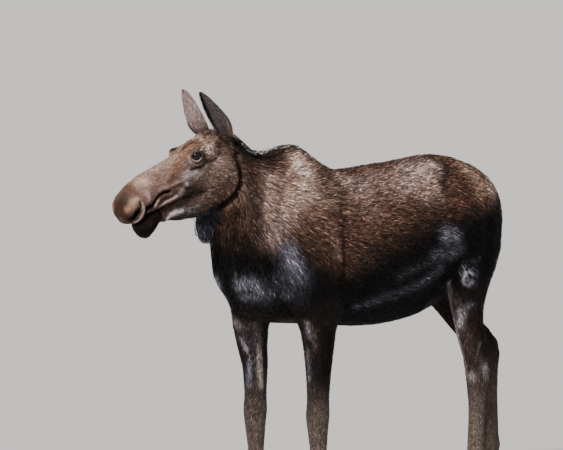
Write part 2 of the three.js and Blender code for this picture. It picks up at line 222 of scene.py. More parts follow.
@dataclass
class Surface:
    """A closed surface as arrays, which the hide is shaped on."""

    points: np.ndarray
    triangles: np.ndarray
    edges: np.ndarray

    @classmethod
    def read(cls, mesh: bpy.types.Mesh) -> "Surface":
        """Returns the surface of a Blender mesh."""
        mesh.calc_loop_triangles()
        rows = []
        for items, key, columns, kind in ((mesh.vertices, "co", 3, np.float32),
                                          (mesh.loop_triangles, "vertices", 3, np.int32),
                                          (mesh.edges, "vertices", 2, np.int32)):
            values = np.empty(len(items) * columns, kind)
            items.foreach_get(key, values)
            rows.append(values.reshape(-1, columns))
        points, triangles, edges = rows
        return cls(points.astype(float), triangles, edges)

    def gathered(self, keys: np.ndarray, values: np.ndarray) -> np.ndarray:
        """Returns, for each point, the sum of the values whose key it is."""
        columns = [np.bincount(keys, values[:, c], len(self.points)) for c in range(values.shape[1])]
        return np.stack(columns, axis=1)

    def normals(self) -> np.ndarray:
        """Returns the direction out of the surface at each point."""
        a, b, c = (self.points[self.triangles[:, k]] for k in range(3))
        across = np.cross(b - a, c - a)
        return unit(sum(self.gathered(self.triangles[:, k], across) for k in range(3)))

    def averaged(self, values: np.ndarray) -> np.ndarray:
        """Returns, for each point, the mean of the values at its neighbours."""
        first, second = self.edges[:, 0], self.edges[:, 1]
        total = self.gathered(first, values[second]) + self.gathered(second, values[first])
        count = np.bincount(self.edges.ravel(), minlength=len(self.points))
        return total / np.maximum(count, 1)[:, None]

    def smooth(self, share: np.ndarray, rounds: int) -> None:
        """Melts the surface without shrinking it.

        Args:
            share: How much each point takes part, from 0 to 1.
            rounds: How many times a pull in and a push out are done.
        """
        for step in (PULL_IN, PUSH_OUT) * rounds:
            pull = self.averaged(self.points) - self.points
            self.points += pull * (step * share)[:, None]

    def pieces(self) -> np.ndarray:
        """Returns a number for each point, the same on all points that hang together."""
        label = np.arange(len(self.points))
        first, second = self.edges[:, 0], self.edges[:, 1]
        while True:
            before = label.copy()
            low = np.minimum(label[first], label[second])
            np.minimum.at(label, label[first], low)
            np.minimum.at(label, label[second], low)
            for _ in range(20):
                label = label[label]
            if np.array_equal(before, label):
                return label


def linked(name: str, data: bpy.types.ID) -> bpy.types.Object:
    """Returns a new object of some data, linked to the scene."""
    made = bpy.data.objects.new(name, data)
    bpy.context.scene.collection.objects.link(made)
    return made


def mesh_object(name: str, points: np.ndarray, faces: np.ndarray) -> bpy.types.Object:
    """Makes a mesh object from arrays.

    Args:
        name: The object's name.
        points: Its points, one row each.
        faces: Its faces, one row of point numbers each, all with as many corners.

    Returns:
        The new object, linked to the scene.
    """
    mesh = bpy.data.meshes.new(name)
    mesh.vertices.add(len(points))
    mesh.vertices.foreach_set("co", points.astype(np.float32).ravel())
    corners = faces.shape[1]
    mesh.loops.add(faces.size)
    mesh.loops.foreach_set("vertex_index", faces.astype(np.int32).ravel())
    mesh.polygons.add(len(faces))
    mesh.polygons.foreach_set("loop_start", np.arange(0, faces.size, corners, dtype=np.int32))
    mesh.update(calc_edges=True)
    mesh.shade_smooth()
    return linked(name, mesh)


def with_modifier(source: bpy.types.Object, kind: str, **settings: object) -> bpy.types.Mesh:
    """Returns the mesh that an object has under one modifier, and takes the object away.

    Args:
        source: The object, which is deleted.
        kind: The modifier's type.
        **settings: The modifier's settings.

    Returns:
        The new mesh.
    """
    modifier = source.modifiers.new(kind.title(), kind)
    for key, value in settings.items():
        setattr(modifier, key, value)
    graph = bpy.context.evaluated_depsgraph_get()
    mesh = bpy.data.meshes.new_from_object(source.evaluated_get(graph))
    bpy.data.objects.remove(source)
    return mesh


def node_solid(node: str, grown: float) -> tuple[np.ndarray, np.ndarray]:
    """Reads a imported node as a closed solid, a little grown so that it overlaps its neighbours.

    Args:
        node: The node's name.
        grown: How far each point moves out.

    Returns:
        The solid's points and its triangles.
    """
    surface = Surface.read(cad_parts[node].data)
    _, first, where = np.unique(np.round(surface.points, 5), axis=0, return_index=True, return_inverse=True)
    triangles = where.ravel()[surface.triangles]
    whole = (triangles[:, 0] != triangles[:, 1]) & (triangles[:, 1] != triangles[:, 2])
    whole &= triangles[:, 0] != triangles[:, 2]
    surface = Surface(surface.points[first], triangles[whole], surface.edges)
    return surface.points + surface.normals() * grown, surface.triangles


# ---------------------------------------------------------------- lie and depth of the coat


@dataclass(frozen=True)
class Guide:
    """How the coat grows round one place. Each guide stands for both sides of the body."""

    at: tuple[float, float, float]
    reach: float
    lie: tuple[float, float, float]
    length: float
    depth: float
    axes: Axes = ROW


def millimetres(value: float) -> float:
    """Returns a length given in millimetres in metres."""
    return round(value / 1000, 15)


def guides(axes: Axes, *rows: tuple) -> tuple[Guide, ...]:
    """Returns guides whose places are in one frame.

    Args:
        axes: The frame.
        *rows: For each guide its place, reach, lie, length and depth, with lengths in millimetres.

    Returns:
        The guides.
    """
    return tuple(Guide(tuple(map(millimetres, at)), millimetres(reach), lie, millimetres(length),
                       millimetres(depth), axes) for at, reach, lie, length, depth in rows)


HEAD_GUIDES = guides(
    HEAD,
    # muzzle, nose, forehead, eye, cheek, jaw, chin and poll
    ((30, -640, -30), 50, (0.25, 0.55, 0.80), 7, 1.6),
    ((60, -600, -70), 50, (0.10, 1.00, -0.10), 7, 1.6),
    ((40, -520, 40), 60, (0.20, 1.00, -0.05), 10, 2.2),
    ((30, -380, 35), 90, (0.15, 1.00, 0.00), 14, 3),
    ((70, -420, -60), 70, (0.05, 1.00, -0.30), 9, 2.2),
    ((30, -150, 20), 80, (0.20, 1.00, 0.05), 20, 4.2),
    ((80, -205, -20), 45, (0.05, 1.00, -0.25), 8, 1.8),
    ((85, -260, -80), 60, (0.05, 1.00, -0.45), 12, 2.6),
    ((85, -120, -30), 60, (0.05, 1.00, -0.25), 18, 4),
    ((100, -100, -140), 90, (0.00, 0.85, -0.60), 24, 5),
    ((60, -260, -200), 80, (0.00, 1.00, -0.35), 20, 4.5),
    ((40, -420, -150), 60, (0.00, 1.00, -0.10), 10, 2.4),
    ((20, -590, -180), 50, (0.05, 0.80, -0.60), 14, 2.6),
    ((30, -20, 10), 60, (0.15, 1.00, -0.10), 32, 7.5),
)

BODY_GUIDES = guides(
    ROW,
    # nape, neck and throat
    ((20, -560, 1850), 100, (0.10, 0.75, -0.55), 55, 16),
    ((30, -440, 1740), 100, (0.10, 0.95, -0.30), 60, 18),
    ((110, -560, 1680), 130, (0.00, 0.75, -0.75), 38, 9),
    ((120, -560, 1500), 140, (0.00, 0.55, -0.85), 42, 11),
    ((20, -640, 1420), 120, (0.00, 0.20, -1.00), 50, 13),
    # hump and shoulder
    ((15, -240, 1760), 100, (0.05, 1.00, 0.10), 55, 15),
    ((110, -230, 1640), 130, (0.00, 1.00, 0.12), 45, 11),
    ((160, -350, 1470), 160, (0.00, 0.90, -0.45), 42, 11),
    ((180, -420, 1280), 130, (0.00, 0.45, -0.90), 36, 9),
    ((90, -580, 1180), 130, (0.00, 0.30, -0.95), 30, 7.5),
    ((190, -260, 1080), 130, (0.00, 0.25, -1.00), 26, 6.5),
    # back, ribs and belly
    ((40, 100, 1640), 140, (0.10, 1.00, 0.00), 42, 10),
    ((170, 80, 1520), 160, (0.00, 1.00, -0.05), 42, 10),
    ((250, 80, 1300), 180, (0.00, 1.00, -0.45), 40, 10),
    ((220, 80, 1080), 160, (0.00, 1.00, -0.30), 36, 8.5),
    ((40, 150, 960), 180, (0.00, 1.00, 0.00), 34, 8),
    # loin, flank and rump
    ((50, 520, 1680), 180, (0.05, 1.00, 0.00), 42, 10),
    ((210, 450, 1460), 160, (0.00, 1.00, -0.20), 42, 10),
    ((250, 480, 1220), 130, (0.00, 0.95, 0.10), 36, 8.5),
    ((60, 880, 1600), 160, (0.00, 0.90, -0.45), 40, 9.5),
    ((200, 780, 1420), 170, (0.00, 0.80, -0.60), 40, 9.5),
    ((90, 1020, 1320), 160, (0.00, 0.15, -1.00), 40, 9),
    ((230, 640, 1200), 130, (0.00, 0.45, -0.90), 32, 7.5),
    ((235, 630, 1105), 110, (0.00, 0.45, -0.90), 5, 2.8),
    ((200, 860, 1130), 160, (0.00, 0.20, -1.00), 32, 7.5),
    # legs, down to the hooves
    ((180, -260, 840), 150, (0.00, 0.15, -1.00), 20, 4.5),
    ((180, -260, 500), 250, (0.00, 0.15, -1.00), 15, 3.2),
    ((180, -300, 120), 180, (0.00, 0.10, -1.00), 13, 2.6),
    ((180, 700, 880), 150, (0.00, 0.20, -1.00), 22, 5),
    ((180, 780, 520), 220, (0.00, 0.10, -1.00), 15, 3.2),
    ((180, 740, 120), 180, (0.00, 0.05, -1.00), 13, 2.6),
    ((180, 1000, 880), 150, (0.00, 0.50, -0.90), 22, 5),
    ((180, 1140, 520), 220, (0.00, 0.10, -1.00), 15, 3.2),
    ((180, 1130, 120), 180, (0.00, 0.05, -1.00), 13, 2.6),
)


@dataclass(frozen=True)
class Hanging:
    """A part with a coat of its own: an ear, the bell or the tail."""

    node: str
    tip: tuple[float, float, float]
    length: float
    depth: float
    margin: float = 0.004

    def holds(self, points: np.ndarray) -> np.ndarray:
        """Returns which points lie in the part's box."""
        low, high = (np.array(corner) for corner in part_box(self.node))
        return np.all((points > low - self.margin) & (points < high + self.margin), axis=1)


PARTS = (
    Hanging("ear_left", HEAD.direction(-0.10, -0.12, 1.0), 0.014, 0.0016),
    Hanging("ear_right", HEAD.direction(0.10, 0.02, 1.0), 0.014, 0.0016),
    Hanging("bell", (0.0, 0.15, -1.0), 0.050, 0.0090),
    Hanging("tail", (0.0, 0.20, -1.0), 0.040, 0.0070),
)


def coat_growth(points: np.ndarray) -> tuple[np.ndarray, np.ndarray, np.ndarray]:
    """Works out how the coat grows at each point, blended between the guides or as its part says.

    Args:
        points: Places on the hide.

    Returns:
        The lie as a direction, the tufts' length and the coat's depth.
    """
    every = HEAD_GUIDES + BODY_GUIDES
    nearness = np.empty((len(every), len(points)))
    for row, guide in enumerate(every):
        places = guide.axes.local(points)
        places[:, 0] = np.abs(places[:, 0])
        nearness[row] = -np.sum((places - np.array(guide.at)) ** 2, axis=1) / guide.reach**2
    share = np.exp(nearness - nearness.max(axis=0))
    share /= share.sum(axis=0)
    lie = np.zeros_like(points)
    for row, guide in enumerate(every):
        sign = np.sign(guide.axes.local(points)[:, 0])
        direction = np.array(guide.lie) / np.linalg.norm(guide.lie)
        spread = np.stack([sign * direction[0], *np.tile(direction[1:, None], len(points))], axis=1)
        lie += guide.axes.turned(spread) * share[row][:, None]
    lie = unit(lie)
    length = np.array([guide.length for guide in every]) @ share
    depth = np.array([guide.depth for guide in every]) @ share
    for part in PARTS:
        inside = part.holds(points)
        lie[inside] = unit(np.array(part.tip))
        length[inside] = part.length
        depth[inside] = part.depth
    return lie, length, depth


# ---------------------------------------------------------------- folds of the hide


def path_distance(places: np.ndarray, path: tuple[tuple[float, ...], ...]) -> np.ndarray:
    """Returns how far points lie from a path, seen from the side where the path has no X of its own.

    Args:
        places: Points in the path's frame, with X taken as the distance from the middle plane.
        path: One or more places, as (y, z) or (x, y, z).

    Returns:
        The distance of each point.
    """
    seen = places[:, -len(path[0]):]
    corners = [np.array(corner) for corner in path]
    nearest = np.linalg.norm(seen - corners[0], axis=1)
    for start, end in zip(corners, corners[1:]):
        run = end - start
        share = np.clip((seen - start) @ run / (run @ run), 0, 1)
        nearest = np.minimum(nearest, np.linalg.norm(seen - start - share[:, None] * run, axis=1))
    return nearest


@dataclass(frozen=True)
class Fold:
    """A ridge or a groove of the hide along a path, on both sides of the body or on one."""

    path: tuple[tuple[float, ...], ...]
    width: float
    rise: float
    axes: Axes = ROW
    side: Side | None = None
    clear: float = 0.012

    def height(self, points: np.ndarray) -> np.ndarray:
        """Returns how far the fold lifts each point."""
        places = self.axes.local(points)
        across = places[:, 0] if self.side is None else places[:, 0] * self.side.value
        places[:, 0] = np.abs(places[:, 0])
        off_middle = np.abs(across) if self.side is None else across
        shown = ease(0, self.clear, off_middle) if len(self.path[0]) == 2 or self.side else 1.0
        return self.rise * bell(path_distance(places, self.path), self.width) * shown


def in_metres(path: Iterable[tuple[float, ...]]) -> tuple[tuple[float, ...], ...]:
    """Returns a path given in millimetres in metres."""
    return tuple(tuple(map(millimetres, corner)) for corner in path)


def in_face(width: float, rise: float, *path: tuple[float, ...], side: Side | None = None,
            clear: float = 12) -> Fold:
    """Returns a fold of the head along a path in the head's own frame, all in millimetres."""
    return Fold(in_metres(path), millimetres(width), millimetres(rise), HEAD, side, millimetres(clear))


def in_body(width: float, rise: float, *path: tuple[float, ...], clear: float = 12) -> Fold:
    """Returns a fold of the body along a path of (y, z) or (x, y, z), all in millimetres."""
    return Fold(in_metres(path), millimetres(width), millimetres(rise), clear=millimetres(clear))


# features of the face seen from the side, each a path of (y, z) in millimetres from the poll
NOSTRIL_SLIT = ((-566, -25), (-568, -44), (-586, -56), (-600, -65))
NOSTRIL_OPENING = ((-596, -66), (-610, -72), (-625, -78))
NOSTRIL_RIM = ((-560, -35), (-564, -62), (-584, -80), (-603, -94), (-617, -97))
LIP_BUMP = ((-508, -16), (-519, -41))
LIP_CREASE = ((-402, -72), (-430, -61), (-460, -62), (-485, -71), (-510, -79), (-534, -73))
LIP_WEDGE = ((-540, -68), (-551, -75), (-547, -95))
LIP_ROLL = ((-396, -86), (-424, -71), (-452, -66), (-472, -76), (-495, -90))
LIP_LINE = ((-402, -100), (-438, -94), (-464, -100))
LIP_EDGE = ((-376, -112), (-406, -110), (-440, -107), (-468, -113), (-498, -104))
MOUTH_CORNER = ((-464, -136), (-470, -163))
CORNER_ROLL = ((-450, -138), (-458, -160), (-462, -183))
JAW_EDGE = ((-450, -190), (-422, -182), (-398, -184), (-362, -197))
FACE_CREST = ((-318, -62), (-364, -50), (-404, -45), (-445, -33))
CHEEK_LINE = ((-340, -134), (-370, -140), (-406, -142))
KNOB_LINE = ((-317, -103), (-298, -117))
SOCKET_EDGE = ((-254, -45), (-240, -50), (-208, -61), (-186, -58), (-171, -48))
BEHIND_EYE = ((-166, -60), (-147, -67), (-125, -66), (-92, -55))
CHEEK_GROOVE = ((2, -70), (-18, -112), (-30, -155), (-43, -195), (-66, -235), (-105, -269), (-155, -294))

HEAD_FOLDS = (
    # nostril: slit, opening, rim and the bulge before it
    in_face(6.5, -12, *NOSTRIL_SLIT),
    in_face(11, -18, *NOSTRIL_OPENING, clear=50),
    in_face(5.8, 4.5, *NOSTRIL_RIM),
    in_face(18, 5.5, (-580, -8), (-600, -12), (-625, -25), clear=50),
    # upper lip: the deep groove behind the muzzle, the bump before it and the folds under it
    in_face(9.5, -16, *LIP_CREASE),
    in_face(9.5, -13, *LIP_WEDGE),
    in_face(13, 5, *LIP_BUMP, clear=50),
    in_face(7.5, 8, *LIP_ROLL),
    in_face(4.5, -5, *LIP_LINE),
    in_face(8, 7.5, *LIP_EDGE),
    in_face(9, -6, (-293, -170), *CHEEK_LINE),
    in_face(5.5, 5, *CORNER_ROLL),
    in_face(5, -5, *MOUTH_CORNER),
    # lower jaw: the lit edge
    in_face(11, 6.5, *JAW_EDGE),
    # face: crest, knobs on the cheek, bar below the eye
    in_face(11, 5, *FACE_CREST),
    in_face(14, 5, (-308, -88)),
    in_face(16, 5.5, (-349, -107)),
    in_face(7, -3.5, *KNOB_LINE),
    in_face(9, 4.5, (-254, -96), (-222, -87), (-200, -78), (-182, -65)),
    in_face(5.5, -4, (-242, -19), (-264, -27), (-288, -33)),
    # round the eye: brow, rear rim of the socket, hollow behind it
    in_face(6, -5, *SOCKET_EDGE),
    in_face(10, 4.5, (-239, 8), (-211, 18), (-178, 16), (-148, 2), side=Side.LEFT),
    in_face(10, 1, (-236, 0), (-209, 8), (-177, 7), (-145, -4), side=Side.RIGHT),
    in_face(11, 5, (-124, -2), (-139, -21), (-154, -41)),
    in_face(8, -6, *BEHIND_EYE),
    in_face(28, -7, (-81, -27), clear=50),
    # cheek: the round of the jaw muscle and the groove at its rear edge
    in_face(65, 6, (-122, -134)),
    in_face(15, -14, *CHEEK_GROOVE),
    in_face(14, -4.5, (-196, -189), (-257, -168), (-296, -142)),
)

BODY_FOLDS = (
    # shoulder: blade, its point, the long muscle behind it and the crease at its rear
    in_body(45, 9, (-245, 1680), (-300, 1500), (-380, 1360), clear=50),
    in_body(55, 12, (-430, 1270), clear=50),
    in_body(80, 9, (-220, 1230), clear=50),
    in_body(16, -12, (-90, 1480), (-100, 1380), (-112, 1283), (-95, 1100), clear=50),
    in_body(26, -10, (-470, 1560), (-510, 1400), (-500, 1270), (-470, 1160), clear=50),
    in_body(22, -7, (-300, 1190), (-330, 1100), clear=50),
    # breast and its middle line
    in_body(60, 9, (75, -570, 1190)),
    in_body(22, -10, (0, -640, 1280), (0, -600, 1120), (0, -520, 1030)),
    # loin, hip, flank and thigh
    in_body(45, 9, (560, 1540), clear=50),
    in_body(60, -10, (450, 1480), (500, 1380), clear=50),
    in_body(28, 11, (300, 1030), (420, 1090), (520, 1180), clear=80),
    in_body(50, 9, (600, 1110), clear=50),
    in_body(22, -7, (800, 1440), (790, 1280), (740, 1130), clear=50),
)


# ---------------------------------------------------------------- colours


def linear(code: str) -> np.ndarray:
    """Returns a colour code such as '4b352a' as linear red, green and blue."""
    shown = np.array([int(code[k:k + 2], 16) / 255 for k in (0, 2, 4)])
    return np.where(shown <= 0.04045, shown / 12.92, ((shown + 0.055) / 1.055) ** 2.4)


@dataclass(frozen=True)
class Marking:
    """A soft patch or stripe of colour in the coat, alike on both sides or on one side only."""

    colour: str
    path: tuple[tuple[float, ...], ...]
    width: float
    strength: float = 1.0
    axes: Axes = ROW
    side: Side | None = None

    def laid(self, points: np.ndarray, colours: np.ndarray) -> np.ndarray:
        """Returns the colours with this marking laid over them."""
        places = self.axes.local(points)
        here = 1.0 if self.side is None else ease(-0.004, 0.004, places[:, 0] * self.side.value)
        places[:, 0] = np.abs(places[:, 0])
        share = here * self.strength * bell(path_distance(places, self.path), self.width)
        return mixed(colours, linear(self.colour), share)


def markings(axes: Axes, *rows: tuple, side: Side | None = None) -> tuple[Marking, ...]:
    """Returns markings whose paths are in one frame.

    Args:
        axes: The frame.
        *rows: For each marking its colour, width and strength, and then the places of its path as
            (y, z) or (x, y, z). Lengths are in millimetres.
        side: The side they are on, if they are not on both.

    Returns:
        The markings.
    """
    return tuple(Marking(colour, in_metres(path), millimetres(width), strength, axes, side)
                 for colour, width, strength, *path in rows)


# the coat is brown above this line of (y, z) and black below it
DARK_BELOW = ((-0.70, 1.38), (-0.57, 1.36), (-0.46, 1.34), (-0.34, 1.31), (-0.20, 1.24), (-0.10, 1.19),
              (0.02, 1.24), (0.14, 1.30), (0.30, 1.36), (0.45, 1.38), (0.60, 1.41), (0.80, 1.43),
              (0.93, 1.46), (1.10, 1.49))

# below this height the coat takes the colours of the legs; how pale it is at some of their heights
LEGS_BELOW = 1.16
PALE_SHANKS = ((0.10, 0.6), (0.30, 1.0), (0.50, 0.85), (0.62, 0.3), (0.74, 0.0))

BODY_MARKINGS = markings(
    ROW,
    # neck
    ("493730", 60, 0.80, (110, -560, 1640), (140, -560, 1560), (150, -530, 1500)),
    ("6a5249", 45, 0.75, (90, -440, 1645), (105, -400, 1625)),
    ("bd9f92", 42, 0.85, (95, -440, 1600), (110, -460, 1570), (140, -475, 1535), (155, -490, 1465)),
    ("15100f", 18, 0.85, (130, -590, 1530), (150, -550, 1460), (155, -550, 1390), (145, -575, 1350)),
    ("75625b", 28, 0.70, (160, -505, 1400), (170, -515, 1350)),
    ("0f0d0c", 38, 0.75, (75, -620, 1440), (70, -615, 1350), (120, -580, 1330)),
    ("2a201d", 36, 0.60, (90, -610, 1490), (145, -530, 1390)),
    # hump and shoulder: paler coat with painted highlights where the light falls on them
    ("b08f82", 88, 0.85, (100, -240, 1640), (120, -320, 1560)),
    ("f0cdbb", 44, 0.95, (75, -225, 1675), (95, -250, 1655), (120, -230, 1610), (140, -245, 1560)),
    ("bd9f93", 60, 0.88, (150, -330, 1510), (160, -400, 1460)),
    ("9a827a", 48, 0.82, (170, -440, 1410), (170, -480, 1365)),
    ("b08f81", 42, 0.80, (150, -230, 1530), (170, -215, 1490)),
    ("75574a", 52, 0.75, (180, -250, 1430), (200, -180, 1390)),
    ("52382c", 42, 0.75, (205, -200, 1320), (215, -170, 1265)),
    ("8a7066", 18, 0.65, (200, -165, 1400), (215, -150, 1340), (225, -135, 1255)),
    # painted shade in the crease behind the shoulder
    ("1a1210", 14, 0.85, (-70, 1500), (-85, 1440), (-90, 1370), (-100, 1250), (-100, 1100)),
    ("9c8074", 36, 0.75, (140, -95, 1545), (170, -115, 1490)),
    # back and ribs
    ("bc9e92", 48, 0.88, (100, 0, 1590), (140, 40, 1535)),
    ("a08379", 65, 0.85, (150, 70, 1520), (110, 220, 1580), (160, 250, 1525)),
    ("7c6258", 56, 0.75, (190, 0, 1450), (205, 90, 1440), (190, 220, 1470)),
    ("c9aca3", 68, 0.95, (120, 400, 1570), (105, 510, 1590)),
    ("b7978c", 48, 0.88, (160, 340, 1520), (180, 400, 1490), (175, 480, 1505)),
    ("68493c", 36, 0.75, (225, 170, 1425), (230, 290, 1415)),
    ("5e4337", 42, 0.65, (220, -10, 1360), (235, 120, 1370)),
    ("3a2a24", 40, 0.55, (235, 20, 1270), (240, 160, 1310)),
    # hip band and rump
    ("b4917f", 50, 0.92, (110, 745, 1570), (150, 780, 1520), (175, 760, 1475)),
    ("be9b8a", 34, 0.88, (80, 890, 1520), (115, 890, 1480), (165, 830, 1455)),
    ("573a30", 38, 0.80, (175, 660, 1510), (215, 640, 1440)),
    ("634538", 24, 0.75, (190, 800, 1430), (215, 730, 1415)),
    ("6d4736", 30, 0.75, (225, 600, 1425)),
    # painted shade in the hollow before the hip bone
    ("1c1311", 21, 0.88, (85, 640, 1610), (115, 620, 1585), (170, 560, 1540), (190, 530, 1495)),
    # the dark crest from the nape along the back; on the side of the nape it also paints the shadow of the
    # ear and head
    ("08080b", 52, 0.98, (70, -590, 1770), (65, -565, 1735), (45, -480, 1715)),
    ("0b090a", 50, 0.95, (0, -560, 1840), (20, -440, 1710), (0, -350, 1725)),
    ("17100e", 36, 0.88, (50, -400, 1690), (45, -325, 1705), (5, -245, 1770)),
    ("17100f", 40, 0.85, (0, -230, 1760), (0, -100, 1700), (0, 60, 1630), (0, 300, 1640),
     (0, 560, 1660)),
    # painted sheen: grey highlights of the light on the black hair of the shoulder, breast, belly and thigh
    ("8b8695", 42, 0.92, (185, -400, 1290), (190, -385, 1240), (195, -360, 1190)),
    ("4a4852", 40, 0.75, (205, -335, 1180), (180, -440, 1170)),
    ("8f8b99", 26, 0.94, (70, -590, 1150), (95, -570, 1160), (115, -545, 1155), (120, -515, 1115)),
    ("73707b", 22, 0.88, (65, -560, 1095), (125, -480, 1105), (180, -405, 1100)),
    ("34333a", 60, 0.60, (120, -480, 1120), (200, -370, 1110)),
    ("4d4b55", 20, 0.90, (185, 0, 1015), (210, 70, 1030), (230, 150, 1055), (240, 265, 1075),
     (245, 380, 1110), (250, 455, 1150)),
    ("3b3a42", 24, 0.75, (260, 200, 1140), (260, 350, 1190), (255, 440, 1235)),
    ("84808d", 32, 0.94, (250, 490, 1300), (245, 560, 1285)),
    ("57555f", 30, 0.85, (250, 415, 1215), (245, 600, 1220)),
)

LEG_MARKINGS = markings(
    ROW,
    # left foreleg, from the elbow down: black, with painted sheen down its front and a little brown
    ("0c0a09", 45, 0.85, (215, -190, 900), (210, -205, 700)),
    ("8a8187", 13, 0.88, (190, -295, 970), (185, -280, 905)),
    ("6a666d", 12, 0.80, (165, -270, 840), (155, -255, 700)),
    ("4f3f3a", 14, 0.60, (200, -260, 930), (190, -250, 840)),
    # right foreleg, with painted highlights and sheen on its lit front
    ("8b7e7f", 26, 0.88, (150, -405, 945), (115, -345, 925), (105, -325, 860)),
    ("c2aea8", 13, 0.92, (108, -320, 840), (110, -312, 755), (110, -300, 650)),
    ("a29ca6", 10, 0.85, (145, -395, 870), (130, -370, 820)),
    ("83818d", 12, 0.80, (135, -350, 750), (145, -345, 660)),
    # hind leg: painted highlight down its lit front, painted sheen on the thigh, painted highlights on the
    # string and the cap of the hock, and brown between
    ("a08f90", 12, 0.90, (200, 555, 1080), (160, 605, 1000), (152, 632, 924), (156, 662, 816),
     (150, 710, 650)),
    ("b3a8ae", 18, 0.90, (200, 635, 930), (185, 640, 870)),
    ("6c666e", 15, 0.85, (215, 635, 945), (230, 660, 965)),
    ("54433f", 30, 0.70, (205, 680, 830), (190, 700, 740)),
    ("716b6b", 7, 0.80, (215, 740, 790), (205, 728, 715)),
    ("baadad", 22, 0.88, (180, 720, 625)),
    ("9a8d8e", 17, 0.82, (210, 775, 670), (205, 795, 620)),
)

# whorl of hair on the thigh: a dark middle with a ring of painted sheen round it, seen from the side in
# millimetres
WHORL, WHORL_ACROSS, WHORL_HIGH = (640, 1090), 27, 32
WHORL_RING = tuple((WHORL[0] + WHORL_ACROSS * math.sin(turn), WHORL[1] + WHORL_HIGH * math.cos(turn))
                   for turn in np.radians(np.arange(60, -241, -50)))
WHORL_MARKINGS = markings(
    ROW,
    ("08080a", 16, 0.90, WHORL),
    ("a5a1ae", 6, 0.95, *WHORL_RING),
)

